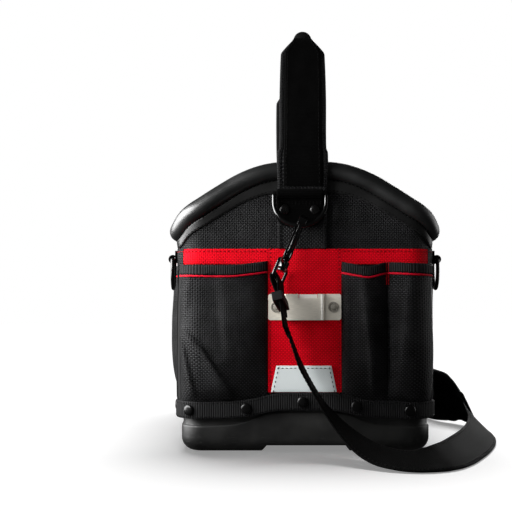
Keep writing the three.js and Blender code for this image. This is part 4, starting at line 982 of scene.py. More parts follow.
def makePanels():
    lines = []
    inset = panel["stitchInset"]
    out = gap + panel["thickness"] + threadLift
    for node, middle, turn in (("centre_panel", 0, 1), ("centre_panel_far", farMiddle, -1)):
        ends = sorted((middle + turn * panelLeft, middle + turn * panelRight))
        sheet = wallSheet(
            node.replace("centre_panel", "redPanel"), spread(*ends, 60), lambda s: panel["bottom"],
            lambda s: panel["top"], lambda *_: gap, panel["thickness"], 80, finishes["red"],
            reliefOf=panelRelief,
        )
        settle(sheet, [node])
        for along in (ends[0] + inset, ends[1] - inset):
            lines.append([onWall(along, z, out) for z in spread(panel["bottom"], panel["top"], 30)])
    low = panel["top"] - panel["bandHeight"]
    sides = {
        "red_band_right": (panelRight + gap, farMiddle - panelRight - gap),
        "red_band_left": (farMiddle - panelLeft + gap, perimeter + panelLeft - gap),
    }
    for node, (start, end) in sides.items():
        sheet = wallSheet(
            "band" + node[8:].title().replace("_", ""), spread(start, end, 260), lambda s: low,
            lambda s: panel["top"], lambda *_: gap, panel["bandThickness"], 12, finishes["red"],
            reliefOf=bandRelief,
        )
        settle(sheet, [node])
        height = panel["top"] - panel["bandStitchInset"]
        row = spread(start + 0.003, end - 0.003, 200)
        lines.append([onWall(s, height, gap + panel["bandThickness"] + 0.0003) for s in row])
    sew("redStitches", lines, "redThread", 0.0042, 0.003, 0.0006)

    for i, (middle, turn) in enumerate(corners):
        ends = sorted((middle + turn * panel["cornerFrom"], middle + turn * panel["cornerTo"]))
        tape = wallSheet(
            f"cornerTape{i + 1}", spread(*ends, 40), lambda s: low - 0.002,
            lambda s: panel["top"] + 0.0008, lambda *_: gap + panel["bandThickness"] + 0.00005,
            0.00045, 10, finishes["ballistic"],
        )
        settle(tape)


makePanels()


def patchHalf(v):
    return (patch["bottomWidth"] + (patch["topWidth"] - patch["bottomWidth"]) * v) / 2


def makePatch():
    middle = panel["shift"] - 0.001
    low = panel["bottom"] + 0.0005
    out = 3 * gap + panel["thickness"]
    columns = 36
    rows = 16
    sections = []
    for share in spread(-1, 1, columns):
        outer = []
        inner = []
        for v in spread(0, 1, rows):
            x = middle + share * patchHalf(v)
            z = low + patch["height"] * v
            edge = min(v, 1 - v, (1 - abs(share)) * 1.2) / 0.12
            puff = patch["thickness"] * (0.55 + 0.45 * clamp(edge) ** 0.5)
            puff += ripple(x * 60, z * 60, 15, 0.00012)
            outer.append(Vector((x, -halfLength - out - puff, z)))
            inner.append(Vector((x, -halfLength - out, z)))
        sections.append(outer + inner[::-1])
    us = spread(0, patch["bottomWidth"], columns)
    us.append(us[-1])
    heights = spread(0, patch["height"], rows)
    heights += heights[::-1]
    size = len(heights)
    piece = sectionMesh(
        "reflectivePatch", sections, us, lambda i, j: heights[j % size], finishes["reflective"],
    )
    settle(piece, ["reflective_patch"])
    inset = patch["inset"]
    y = -halfLength - out - patch["thickness"] - threadLift
    row = []
    for side in (-1, 1):
        foot = Vector((middle + side * (patchHalf(0) - inset), y, low + 0.001))
        top = Vector((middle + side * (patchHalf(0.9) - inset), y, low + patch["height"] - inset))
        row += [foot, top] if side < 0 else [top, foot]
    lines = [[start, end] for start, end in zip(row, row[1:])]
    sew("patchStitches", lines, "greyThread", 0.0042, 0.0028, 0.0006)


makePatch()
print("panels made")


# Pockets round the body, each a row of bays that bulge between the seams
pocketShape = {
    "top": 0.1945,
    "thickness": 0.002,
    "seamGap": 0.0006,
    "reach": endFlat + (0.129 - endFlat) * 1.12,
    "divider": 0.084,
    # share of the height, share of the depth
    "rise": [(0, 0.1), (0.1, 0.62), (0.3, 0.95), (0.6, 1), (0.85, 0.86), (1, 0.8)],
    # share from the panel, how far the top edge lies above the plain one
    "topLeft": [(0, 0.0032), (0.2, 0.0006), (0.42, -0.0014), (1, -0.0006)],
    "topRight": [
        (0, 0.0022), (0.14, -0.0004), (0.288, -0.0023), (0.475, 0.0016), (0.62, 0.0014), (1, -0.0006),
    ],
    # ridges: share from the panel and up at either end, height of the ridge, its half width
    "foldsLeft": [
        (0.37, 0.03, 0.93, 0.56, 0.0046, 0.034), (0.8, 0.03, 0.93, 0.5, 0.0034, 0.03),
        (0.52, 0.3, 0.62, 0.95, -0.003, 0.09), (0.9, 0.6, 0.84, 0.95, 0.0014, 0.05),
    ],
    "foldsRight": [
        (0.34, 0.02, 0.2, 0.95, 0.004, 0.05), (0.6, 0.02, 0.72, 0.9, 0.0036, 0.05),
        (0.1, 0.1, 0.12, 0.9, -0.002, 0.05),
    ],
}
pocketBinding = {"height": 0.0102, "thickness": 0.0014, "piping": 0.0011, "tack": 0.022}
# seams beside each corner, as distances beyond the end pocket
cornerSeams = {"a": (0.001, 0.0068), "b": (0.0105, 0.0145)}
nearGap = panelRight + 2 * gap
leftGap = panelLeft - 2 * gap
dividerShare = (pocketShape["divider"] - nearGap) / (pocketShape["reach"] - nearGap)
sideReach = 0.128
pockets = {
    # node: piece, start, end, seams, depth, turned round, its own columns' ending
    "pocket_near_right": (
        "pocketRight", nearGap, pocketShape["reach"], (0, dividerShare, 1), 0.014, False, "Right",
    ),
    "pocket_near_left": ("pocketLeft", -pocketShape["reach"], leftGap, (0, 1), 0.014, True, "Left"),
    "pocket_far_right": (
        "farPocketRight", farMiddle - pocketShape["reach"], farMiddle - nearGap, (0, 1), 0.014, True, "",
    ),
    "pocket_far_left": (
        "farPocketLeft", farMiddle - leftGap, farMiddle + pocketShape["reach"], (0, 1), 0.014, False, "",
    ),
    "pocket_side_right": (
        "sidePocketRight", perimeter / 4 - sideReach, perimeter / 4 + sideReach, (0, 0.34, 0.66, 1),
        0.012, False, "",
    ),
    "pocket_side_left": (
        "sidePocketLeft", 3 * perimeter / 4 - sideReach, 3 * perimeter / 4 + sideReach,
        (0, 0.34, 0.66, 1), 0.012, False, "",
    ),
}


# How far the folds stand out at a place. Each is a ridge that is steep on one side.
def foldHeight(rows, across, up):
    total = 0
    for x0, z0, x1, z1, proud, wide in rows:
        dx = x1 - x0
        dz = z1 - z0
        t = ((across - x0) * dx + (up - z0) * dz) / (dx * dx + dz * dz)
        near = clamp(t)
        steep = dx * (up - z0) - dz * (across - x0) > 0
        reach = wide * (0.7 if steep else 2.2)
        away = math.hypot(across - x0 - dx * near, up - z0 - dz * near) / reach
        total += proud * math.exp(-away * away) * math.sin(math.pi * near) ** 0.5
    return total


# How high the pocket's top edge is, and how far its cloth stands off the wall.
def pocketForm(start, end, seams, depth, mirror, ending):
    def shareAt(along):
        share = clamp((along - start) / (end - start))
        return 1 - share if mirror else share

    def topAt(along):
        if not ending:
            return pocketShape["top"]
        return pocketShape["top"] + readRows(pocketShape["top" + ending], shareAt(along))

    def standAt(along, v, z):
        share = clamp((along - start) / (end - start))
        bay = 0
        while bay < len(seams) - 2 and share > seams[bay + 1]:
            bay += 1
        inBay = clamp((share - seams[bay]) / (seams[bay + 1] - seams[bay]))
        bulge = math.sin(math.pi * inBay) ** 0.6
        folds = pocketShape["folds" + ending] if ending else ()
        loose = clamp(bulge * 3)
        fold = foldHeight(folds, shareAt(along), v) * loose
        fold += (ripple(along * 22, z * 16, 21, 0.0016) + ripple(along * 55, z * 30, 22, 0.0004)) * loose
        return gap + depth * bulge * readRows(pocketShape["rise"], v) + fold

    return topAt, standAt


def pocketFoot(along):
    return trimMiddle(along) + tote["trimHeight"] / 2 + gap


def makePockets():
    stitchLines = []
    tackLines = []
    for node, (name, start, end, seams, depth, mirror, ending) in pockets.items():
        topAt, standAt = pocketForm(start, end, seams, depth, mirror, ending)
        low = pocketFoot
        columns = []
        for a, b in zip(seams, seams[1:]):
            bay = spread(start + a * (end - start), start + b * (end - start), int(60 * (b - a)) + 40)
            columns += bay[1 if columns else 0:]
        cloth = wallSheet(
            name, columns, low, topAt, standAt, pocketShape["thickness"], 60, finishes["ballistic"],
        )
        settle(cloth, [node])

        def onCloth(along, z, out):
            v = (z - low(along)) / (topAt(along) - low(along))
            return onWall(along, z, standAt(along, v, z) + pocketShape["thickness"] + out)

        def bindingStand(along, _, z):
            return standAt(along, (z - low(along)) / (topAt(along) - low(along)), z) - 0.0006

        height = pocketBinding["height"]
        strip = wallSheet(
            name + "Binding", columns, lambda s: topAt(s) - height, lambda s: topAt(s) + 0.0006,
            bindingStand, pocketShape["thickness"] + pocketBinding["thickness"] + 0.0006, 10,
            finishes["ribbed"],
        )
        settle(strip, [node + "_binding"] if ending else ())
        radius = pocketBinding["piping"]
        middle = [onCloth(s, topAt(s) - height - radius * 0.7, radius * 0.35) for s in columns]
        piping = wireMesh(
            name + "Piping", middle, radius, 10, upward, finishes["piping"], closed=False,
        )
        settle(piping)
        out = pocketBinding["thickness"] + threadLift
        stitchLines.append([onCloth(s, topAt(s) - height + 0.0014, out) for s in columns[1:-1]])
        for share in seams[1:-1]:
            along = start + share * (end - start)
            drops = spread(0, pocketBinding["tack"], 22)
            for side in (-0.0012, 0, 0.0012):
                tackLines.append([onCloth(along + side, topAt(along) - d, 0.0012) for d in drops])
    for i, (middle, turn) in enumerate(corners):
        for letter, distances in cornerSeams.items():
            ends = sorted(middle + turn * (pocketShape["reach"] + d) for d in distances)
            seam = wallSheet(
                f"cornerSeam{i + 1}{letter}", spread(*ends, 8),
                pocketFoot,
                lambda s: pocketShape["top"] - 0.004, lambda *_: gap, 0.0022, 60, finishes["ribbed"],
                reliefOf=lambda along, v, z: ripple(along * 40, z * 22, 41 + i, 0.0009),
            )
            settle(seam)
    sew("pocketStitches", stitchLines, "blackThread")
    sew("pocketTacks", tackLines, "redThread", 0.0016, 0.0022, 0.0006)


makePockets()
print("pockets made")


# Stamped steel clip on the centre panel: a raised bridge between two tabs
clip = {
    "half": 0.0378,
    "bridge": 0.0205,
    "bend": 0.0007,
    "standOff": 0.0054,
    "low": 0.137,
    "high": 0.164,
    "round": 0.0022,
    "thickness": 0.0015,
    "notchMiddle": 0.003,
    "notchHalf": 0.01,
    "notchDepth": 0.004,
    "rivetReach": 0.02965,
    "middle": 0.1505,
    "rivet": 0.011,
    "rivetRise": 0.0024,
    # shares of the half width where columns stand near its ends
    "ends": (0.95, 0.97, 0.985, 0.995, 1),
    # columns between them, closer at the bends and at the notch: from, to, steps
    "columns": [
        (-0.0355, -0.0228, 8), (-0.0226, -0.0184, 14), (-0.018, -0.0074, 8), (-0.00701, -0.00699, 1),
        (-0.0065, 0.0125, 12), (0.01299, 0.01301, 1), (0.0135, 0.018, 4), (0.0184, 0.0226, 14),
        (0.0228, 0.0355, 8),
    ],
}
# the lip in the notch leans back as it rises; its lighter steel is a painted highlight
clipLip = {"inset": 0.0004, "under": 0.001, "over": 0.0006, "lean": 0.0034, "thickness": 0.0009}
# a painted highlight at the right bend, a thin strip of lighter steel: columns as x and how far each stands
# off the clip
clipBend = {
    "columns": [(0.0162, -0.0002), (0.0168, 0.0004), (0.0182, 0.0004), (0.0187, -0.0002)],
    "inset": 0.0006,
    "thickness": 0.0006,
}


def clipOut(x):
    t = clamp((clip["bridge"] + clip["bend"] - abs(x)) / (2 * clip["bend"]))
    return clip["standOff"] * t * t * (3 - 2 * t)


# A point on the clip: across it, away from the panel, and up.
def clipPoint(x, out, z):
    seat = halfLength + 2 * gap + panel["thickness"]
    return Vector((panel["shift"] + x, -seat - out, z))


def makeClip():
    half = clip["half"]
    thickness = clip["thickness"]
    xs = [-half * share for share in clip["ends"][::-1]]
    for start, end, steps in clip["columns"]:
        xs += spread(start, end, steps)
    xs += [half * share for share in clip["ends"]]
    sections = []
    for x in xs:
        corner = clamp(1 - (half - abs(x)) / clip["round"])
        rounded = clip["round"] * (1 - math.sqrt(1 - corner * corner))
        inNotch = abs(x - clip["notchMiddle"]) < clip["notchHalf"]
        high = clip["high"] - (clip["notchDepth"] if inNotch else rounded)
        low = clip["low"] + rounded
        out = clipOut(x)
        outer = []
        inner = []
        for v in spread(0, 1, 8):
            edge = 0.0004 * (1 - clamp(min(v, 1 - v) * 12)) ** 2
            outer.append(clipPoint(x, out + thickness - edge, low + (high - low) * v))
            inner.append(clipPoint(x, out, low + (high - low) * v))
        sections.append(outer + inner[::-1])
    us = [*xs, xs[-1]]
    piece = sectionMesh("tapeClip", sections, us, lambda i, j: j * 0.003, finishes["steel"], sharp=35)
    settle(piece, ["tape_clip"])

    # The lip in the notch, in the lightest steel: a painted highlight.
    lip = []
    low = clip["high"] - clip["notchDepth"] - clipLip["under"]
    for side in (-1, 1):
        x = clip["notchMiddle"] + side * (clip["notchHalf"] - clipLip["inset"])
        face = []
        back = []
        for v in spread(0, 1, 6):
            z = low + (clip["notchDepth"] + clipLip["over"]) * v
            out = clip["standOff"] + thickness - 0.0002 - clipLip["lean"] * v ** 1.4
            face.append(clipPoint(x, out, z))
            back.append(clipPoint(x, out - clipLip["thickness"], z - 0.0005))
        lip.append(face + back[::-1])
    us = [0, 0.02, 0.02]
    piece = sectionMesh("clipLip", lip, us, lambda i, j: j * 0.001, finishes["brightSteel"])
    settle(piece)

    # A thin strip of the lightest steel along the right bend: a painted highlight.
    line = []
    heights = spread(clip["low"] + clipBend["inset"], clip["high"] - clipBend["inset"], 6)
    for x, proud in clipBend["columns"]:
        out = clipOut(x) + thickness + proud
        back = out - clipBend["thickness"]
        line.append(
            [clipPoint(x, out, z) for z in heights] + [clipPoint(x, back, z) for z in heights[::-1]]
        )
    us = [0, 0.0006, 0.002, 0.0026, 0.0026]
    piece = sectionMesh("clipBend", line, us, lambda i, j: j * 0.003, finishes["brightSteel"])
    settle(piece)

    places = [
        (clipPoint(way * clip["rivetReach"], gap + thickness, clip["middle"]), (0, -1, 0))
        for way in (-1, 1)
    ]
    addRivets(
        "clipRivets", places, clip["rivet"], clip["rivetRise"], "rivetSteel",
        ["clip_rivet_left", "clip_rivet_right"], "ring",
    )


makeClip()
print("clip made")


# The carrying handle: backing and webbing from each end over the rim to the grip. It stands
# off the middle at the rim and leans to the middle at the grip.
handle = {
    "gripHeight": 0.4475,
    "gripRadius": 0.010,
    "gripSetBack": 0.066,
    "webbing": 0.039,
    "webbingThickness": 0.0022,
    "backing": 0.050,
    "backingThickness": 0.003,
    "shift": -0.0035,
    "bar": 0.268,
    "edgeWidth": 0.0052,
    "stitchInset": 0.0028,
    # share of the climb from the rim to the grip, share of the width
    "webbingWidths": [(-0.2, 1.02), (0.04, 1.02), (0.08, 1), (0.5, 1), (0.84, 1), (0.87, 0.97), (1, 0.42)],
    "backingWidths": [
        (-0.2, 1.04), (0.04, 1.06), (0.08, 0.99), (0.5, 1), (0.84, 0.97), (0.87, 0.93), (1, 0.33),
    ],
    # distance along the grip, radius
    "grip": [
        (0, 0.0088), (0.0004, 0.0095), (0.0015, 0.01), (0.012, 0.0106), (0.12, 0.0108),
    ],
}


def handlePath():
    clear = -tote["lean"] + tote["rimRadius"] + 0.0004 + 2 * gap
    aboveRim = tote["rimHump"] + tote["rimRadius"] * 1.5
    outAbove = clear - 0.0025
    climb = handle["gripHeight"] - handle["gripRadius"] - aboveRim
    inward = handle["gripSetBack"] - 0.007 + outAbove
    rows = [
        (gap, panel["top"] + gap + 0.0001), (gap, handle["bar"] - 0.018), (gap + 0.0002, handle["bar"]),
        (clear, tote["rimHump"] - tote["rimRadius"]), (clear, tote["rimHump"] + 0.002),
        (outAbove, aboveRim), (outAbove - inward * 0.25, aboveRim + climb * 0.3),
        (outAbove - inward * 0.55, aboveRim + climb * 0.6),
        (outAbove - inward * 0.86, aboveRim + climb * 0.88),
        (outAbove - inward, handle["gripHeight"] - handle["gripRadius"] * 0.8),
        (-handle["gripSetBack"] + gap + 0.002, handle["gripHeight"] - handle["gripRadius"] * 0.25),
    ]
    return smoothPath([Vector((0, -out, z)) for out, z in rows], 150)


def handleStations(turn, width, widths, low, high, lowest=0.0, aside=0.0):
    rimTop = tote["rimHump"] + tote["rimRadius"]
    stations = []
    for p in handlePath():
        if p.z < lowest:
            continue
        share = (p.z - rimTop) / (handle["gripHeight"] - rimTop)
        wide = width * readRows(handle[widths], share)
        shift = handle["shift"] * (1 - clamp(share))
        x = (shift + aside * (wide / 2 - handle["edgeWidth"] / 2)) * turn
        stations.append({
            "point": Vector((x, (p.y - halfLength) * turn, p.z)),
            "across": Vector((-turn, 0, 0)),
            "width": handle["edgeWidth"] if aside else wide,
            "from": low,
            "to": high,
        })
    return faceStations(stations)


def makeHandle():
    lines = []
    thick = handle["backingThickness"]
    under = thick + gap
    over = under + handle["webbingThickness"]
    for end, turn in (("near", 1), ("far", -1)):
        title = end.title()
        backing = handleStations(turn, handle["backing"], "backingWidths", 0, thick)
        piece = strapMesh(f"handleBacking{title}", backing, finishes["ballistic"])
        settle(piece, [f"handle_backing_{end}"])
        for side, aside in (("Left", -1), ("Right", 1)):
            edge = handleStations(
                turn, handle["backing"], "backingWidths", -0.0004, thick + 0.0006, aside=aside,
            )
            piece = strapMesh(f"handleEdge{title}{side}", edge, finishes["ribbed"], columns=10)
            settle(piece)
            lines.append([s["point"] + s["face"] * (thick + 0.0007) for s in edge])
        lowest = handle["bar"] + 0.0079
        webbing = handleStations(turn, handle["webbing"], "webbingWidths", under, over, lowest)
        ripples = lambda i, share, skin: ripple(i * 0.11, share * 1.4, 31, 0.0004)
        piece = strapMesh(f"handleWebbing{title}", webbing, finishes["strap"], 20, ripples)
        settle(piece, [f"handle_webbing_{end}"])
        for way in (-1, 1):
            lines.append([
                s["point"] + s["wide"] * way * (s["width"] / 2 - handle["stitchInset"])
                + s["face"] * (over + threadLift) for s in webbing
            ])
    sew("handleStitches", lines, "blackThread", 0.0044, 0.0034, 0.00045)

    half = halfLength - handle["gripSetBack"] + 0.0019
    stations = [(y - half, r) for y, r in handle["grip"]]
    stations += [(half - y, r) for y, r in handle["grip"][::-1]]
    sides = 48
    sections = [
        circle(Vector((0, y, handle["gripHeight"])), rightward, upward, radius, sides)
        for y, radius in stations
    ]
    us = [y for y, _ in stations]
    us.append(us[-1])
    grip = sectionMesh(
        "grip", sections, us, lambda i, j: j * 0.0013, finishes["rubber"], flatEnds=True, sharp=60,
    )
    settle(grip, ["handle_grip"])


makeHandle()
print("handle made")


# Rings, each in a loop of webbing
ring = {
    "width": 0.054, "drop": 0.035, "shoulder": 0.28, "wire": 0.0045, "tilt": 13, "shift": -0.0067,
    "tab": 0.048, "tabBottom": 0.234, "tabThickness": 0.0022, "clearance": 0.0004, "tabRound": 0.012,
    "rivetAside": 0.0157, "rivetBelow": 0.0165, "rivet": 0.010,
}
sideRing = {"width": 0.028, "drop": 0.031, "wire": 0.004, "bar": 0.201, "place": 0.157, "loop": 0.022}
ringHole = ring["wire"] / 2 + ring["clearance"]
tabInner = 3 * gap + handle["backingThickness"] - 0.0002
tabMiddle = tabInner + ringHole + ring["tabThickness"]


def ringPath(width, drop):
    half = width / 2
    corner = drop * 0.085
    shoulder = drop * ring["shoulder"]
    turns = []
    for angle in spread(0, math.pi / 2, 8):
        turns.append((half - corner + corner * math.sin(angle), -corner + corner * math.cos(angle)))
    bowl = []
    for angle in spread(0, math.pi, 60):
        bowl.append((half * math.cos(angle), -shoulder - (drop - shoulder) * math.sin(angle)))
    bar = [((half - corner) * x, 0) for x in spread(-1, 1, 24)[1:-1]]
    return turns + bowl + [(-x, y) for x, y in turns[::-1]] + bar


def ringPoint(turn, x, drop):
    tilt = math.radians(ring["tilt"])
    out = tabMiddle + drop * math.sin(tilt)
    z = handle["bar"] - drop * math.cos(tilt)
    return Vector(((ring["shift"] + x) * turn, -(halfLength + out) * turn, z))


# Webbing rolled round a bar: its tail on the wall, then once round the bar.
def rollStations(middle, outward, across, width, inner, hole, thickness, tail):
    radius = hole + thickness / 2
    centre = inner + thickness + hole
    way = 1 if tail < 0 else -1
    rows = [(inner + thickness / 2, tail * (1 - t)) for t in spread(0, 1, 26)]
    for angle in spread(math.pi, -math.pi * 0.72, 44)[1:]:
        rows.append((centre + radius * math.cos(angle), way * radius * math.sin(angle)))
    stations = []
    for out, height in rows:
        fromEnd = abs(height - tail)
        wide = width
        if width > 0.04 and fromEnd < ring["tabRound"] and len(stations) < 20:
            share = 1 - fromEnd / ring["tabRound"]
            wide -= 2 * ring["tabRound"] * (1 - math.sqrt(1 - share * share)) * 0.92
        stations.append({
            "point": middle + outward * out + upward * height, "across": across, "width": wide,
            "from": -thickness / 2, "to": thickness / 2,
        })
    return faceStations(stations)


def makeRings():
    places = []
    nodes = []
    lines = []
    for end, turn in (("near", 1), ("far", -1)):
        title = end.title()
        outward = Vector((0, -turn, 0))
        across = Vector((turn, 0, 0))
        middle = Vector((ring["shift"] * turn, -halfLength * turn, handle["bar"]))
        tail = ring["tabBottom"] - handle["bar"]
        stations = rollStations(
            middle, outward, across, ring["tab"], tabInner, ringHole, ring["tabThickness"], tail,
        )
        tab = strapMesh(f"ringTab{title}", stations, finishes["strap"], 22)
        settle(tab, [f"ring_tab_{end}"])
        path = [ringPoint(turn, x, -y) for x, y in ringPath(ring["width"], ring["drop"])]
        corner = ringPoint(turn, 0, 0)
        normal = (ringPoint(turn, 1, 0) - corner).cross(ringPoint(turn, 0, 1) - corner).normalized()
        piece = wireMesh(f"dRing{title}", path, ring["wire"] / 2, 20, normal, finishes["metal"])
        settle(piece, [f"d_ring_{end}"])
        out = tabInner + ring["tabThickness"]
        for side, x in (("left", -ring["rivetAside"]), ("right", ring["rivetAside"])):
            seat = middle + across * x + outward * (out + 0.0003) - upward * ring["rivetBelow"]
            places.append((seat, tuple(outward)))
            nodes.append(f"tab_rivet_{end}_{side}")
        for down in (0.0085, 0.0105):
            start = middle + outward * (out + 0.0002) - upward * down
            lines.append([start + across * x for x in spread(-0.022, 0.022, 20)])
    addRivets("tabRivets", places, ring["rivet"], 0.0028, "rivetBlack", nodes)
    sew("tabStitches", lines, "blackThread", 0.0034, 0.0026)

    inner = 2 * gap + panel["thickness"]
    hole = sideRing["wire"] / 2 + ring["clearance"]
    for name, turn in (("left", -1), ("right", 1)):
        outward = Vector((turn, 0, 0))
        across = Vector((0, turn, 0))
        middle = Vector((turn * halfWidth, -sideRing["place"], sideRing["bar"]))
        tail = panel["top"] - 0.001 - sideRing["bar"]
        stations = rollStations(
            middle, outward, across, sideRing["loop"], inner, hole, ring["tabThickness"], tail,
        )
        piece = strapMesh(f"sideLoop{name.title()}", stations, finishes["strap"])
        settle(piece, [f"side_loop_{name}"])
        centre = middle + outward * (inner + ring["tabThickness"] + hole)
        outline = ringPath(sideRing["width"], sideRing["drop"])
        path = [centre + across * x + upward * y for x, y in outline]
        wire = sideRing["wire"] / 2
        piece = wireMesh(f"sideRing{name.title()}", path, wire, 16, outward, finishes["metal"])
        settle(piece, [f"side_ring_{name}"])


makeRings()
print("rings made")


# Shoulder strap: its route in millimetres, middle of the webbing and the way its width points
strapRoute = [
    (-21.5, -222, 132, 0.04, 1, 0.01), (-14.7, -222.5, 112, 0.06, 1, 0.03), (-7, -223, 92, 0.1, 1, 0.06),
    (3, -225, 73, 0.1, 1, 0.03), (14, -229, 55, 0.13, 1, 0.03), (30, -239, 36, 0.22, 1, 0.12),
    (47, -254, 21, 0.34, 1, 0.2), (64, -271, 12, 0.44, 0.92, 0.28), (82, -285, 9, 0.3, 0.95, 0.33),
    (102, -290, 8.6, -0.02, 1, 0.42), (121, -282, 8.6, -0.45, 0.8, 0.45), (139, -260, 9, -0.75, 0.5, 0.5),
    (157, -226, 10, -0.85, 0.36, 0.55), (175, -186, 10.5, -0.88, 0.3, 0.6),
    (191, -142, 11, -0.9, 0.24, 0.65),
    (203, -95, 12, -0.95, 0.1, 0.75), (208, -50, 14, -0.9, -0.1, 0.95), (204, -10, 17, -0.6, -0.3, 1.2),
    (191, 22, 22, -0.3, -0.25, 1.3), (176, 52, 29, -0.15, -0.1, 1.3), (168, 88, 33, -0.05, 0, 1),
    (166, 126, 39, 0, 0, 1), (163, 162, 52, 0.05, 0.1, 1), (149, 195, 76, 0.3, 0.2, 1),
    (124, 215, 104, 0.6, 0.12, 0.9), (96, 221, 132, 0.72, 0.03, 0.72),
]
strap = {
    "width": 0.038, "thickness": 0.002, "floorGap": 0.0005, "foldTail": 0.028, "sliderLength": 0.009,
    "bailWire": 0.004, "padFrom": 34, "padTo": 46, "padWidth": 0.062, "padThickness": 0.007,
    "stitchInset": 0.003, "fine": 12,
    # share along the pad, share of its width
    "padWidths": [(0, 0.66), (0.08, 0.72), (0.22, 1), (0.78, 1), (0.92, 0.72), (1, 0.66)],
}
# Each hook's eye and bar, the way up its shank, away from the tote and sideways, and the way
# the strap's width lies on the bar
hooks = {
    "near": {
        "eye": Vector((-0.00714, -0.2099, 0.23287)), "bar": Vector((-0.03119, -0.22161, 0.17738)),
        "above": Vector((0.39035, 0.19017, 0.90081)), "across": Vector((0.28, 0.96, 0)),
    },
    "far": {
        "eye": Vector((0.02606, 0.20827, 0.23945)), "bar": Vector((0.06631, 0.21485, 0.19329)),
        "above": Vector((-0.65346, -0.10691, 0.74938)), "across": Vector((0.72, 0, 0.69)),
    },
}
for hook in hooks.values():
    flat = hook["across"].normalized()
    hook["across"] = (flat - hook["above"] * flat.dot(hook["above"])).normalized()


def padWidthAt(at):
    share = (at - strap["padFrom"]) / (strap["padTo"] - strap["padFrom"])
    return strap["padWidth"] * readRows(strap["padWidths"], share)


def foldStations(hook, nextPoint):
    bar = hook["bar"]
    across = hook["across"]
    down = nextPoint - bar
    down = (down - across * down.dot(across)).normalized()
    face = across.cross(down)
    turn = strap["bailWire"] / 2 + ring["clearance"] + strap["thickness"] / 2
    layer = strap["thickness"] / 2 + gap
    tail = strap["foldTail"]
    held = tail - strap["sliderLength"] - 0.003
    knots = [(tail, layer), (held, layer), (tail * 0.42, layer * 1.6), (tail * 0.2, turn * 0.92)]
    knots += [(-turn * math.sin(a), turn * math.cos(a)) for a in spread(0, math.pi, 6)]
    knots += [(tail * 0.2, -turn * 0.92), (tail * 0.42, -layer * 1.6), (held, -layer), (tail, -layer)]
    knots += [(tail + 0.008, -layer)]
    path = smoothPath([bar + down * d + face * o for d, o in knots], 90)
    return [{"point": p, "across": across} for p in path]


def routeStations():
    points = [Vector(row[:3]) / 1000 for row in strapRoute]
    widths = [Vector(row[3:]).normalized() for row in strapRoute]
    fine = strap["fine"]
    count = (len(points) - 1) * fine
    path = smoothPath(points, count)
    stations = []
    for i, p in enumerate(path):
        k = min(i // fine, len(points) - 2)
        across = widths[k].lerp(widths[k + 1], i / fine - k).normalized()
        stations.append({"point": p, "across": across, "at": 2 * i / fine})
    for station, faced in zip(stations, faceStations([dict(s) for s in stations])):
        onPad = strap["padFrom"] <= station["at"] <= strap["padTo"]
        width = padWidthAt(station["at"]) if onPad else strap["width"]
        thickness = strap["thickness"] + (2 * strap["padThickness"] if onPad else 0)
        wide = faced["wide"]
        reach = (width * abs(wide.z) + thickness * math.hypot(wide.x, wide.y)) / 2
        station["lift"] = max(strap["floorGap"] + reach - station["point"].z, 0)
    for i, station in enumerate(stations):
        near = stations[max(i - fine, 0):i + fine + 1]
        most = max(s["lift"] for s in stations[max(i - 2, 0):i + 3])
        station["point"].z += max(most, sum(s["lift"] for s in near) / len(near))
    return stations


def makeStrap():
    route = routeStations()
    near = foldStations(hooks["near"], route[0]["point"])
    far = foldStations(hooks["far"], route[-1]["point"])[::-1]
    half = strap["thickness"] / 2
    stations = faceStations([*near, *route, *far])
    for station in stations:
        station.update(width=strap["width"], **{"from": -half, "to": half})
    piece = strapMesh("shoulderStrap", stations, finishes["strap"], 18)
    settle(piece, ["shoulder_strap"])
    lines = []
    for way in (-1, 1):
        for skin in (-1, 1):
            lines.append([
                s["point"] + s["wide"] * way * (s["width"] / 2 - strap["stitchInset"])
                + s["face"] * skin * (half + threadLift) for s in stations[len(near):-len(far)]
            ])
    sew("strapStitches", lines, "blackThread", 0.0046, 0.0034, 0.0004)

    onPad = [s for s in stations if strap["padFrom"] <= s.get("at", -1) <= strap["padTo"]]
    outer = all(onPad[i]["face"].x > 0 for i in (strap["fine"], len(onPad) // 2))
    side = 1 if outer else -1
    low = side * (half + gap)
    high = low + side * strap["padThickness"]
    padStations = [
        {**s, "width": padWidthAt(s["at"]), "from": min(low, high), "to": max(low, high)} for s in onPad
    ]
    last = len(padStations) - 1

    def padProud(i, share, skin):
        towards = clamp(min(i, last - i) / 6)
        inset = 1 - abs(share)
        channel = -0.0011 * math.exp(-((inset - 0.16) / 0.035) ** 2)
        crown = -0.0016 * (1 - clamp(inset / 0.5) ** 0.6)
        ends = -0.002 * (1 - towards ** 0.5)
        return skin * ((channel + crown + ends) if skin == side else 0)

    pad = strapMesh("shoulderPad", padStations, finishes["pad"], 40, padProud)
    settle(pad, ["shoulder_pad"])

    middle = (low + high) / 2
    rim = []
    for way in (-1, 1):
        row = [s["point"] + s["wide"] * way * s["width"] / 2 + s["face"] * middle for s in padStations]
        rim.append(row if way < 0 else row[::-1])
    outline = rim[0] + rim[1]
    normal = padStations[last // 2]["face"]
    piece = wireMesh("padPiping", outline, 0.0013, 8, normal, finishes["ribbed"])
    settle(piece)
    castPiece("strapSlider", "strap_slider", 5, finishes["rubber"])


makeStrap()
print("strap made")


def makeHooks():
    for end in ("near", "far"):
        for part, passes in (("body", 14), ("gate", 7), ("bail", 9)):
            body = f"gate_{end}" if part == "gate" else mainBody
            name = f"hook{part.title()}{end.title()}"
            castPiece(name, f"hook_{part}_{end}", passes, finishes["metal"], body)


makeHooks()
print("hooks made")


# Floor, light and camera. How bright the world is to the camera, to mirroring surfaces and to
# all others.
worldLight = {"seen": 1.0, "mirrored": 0.03, "lit": 0.07}
floorShade = {"reach": 4.0, "colour": 0.93, "glow": 0.25}
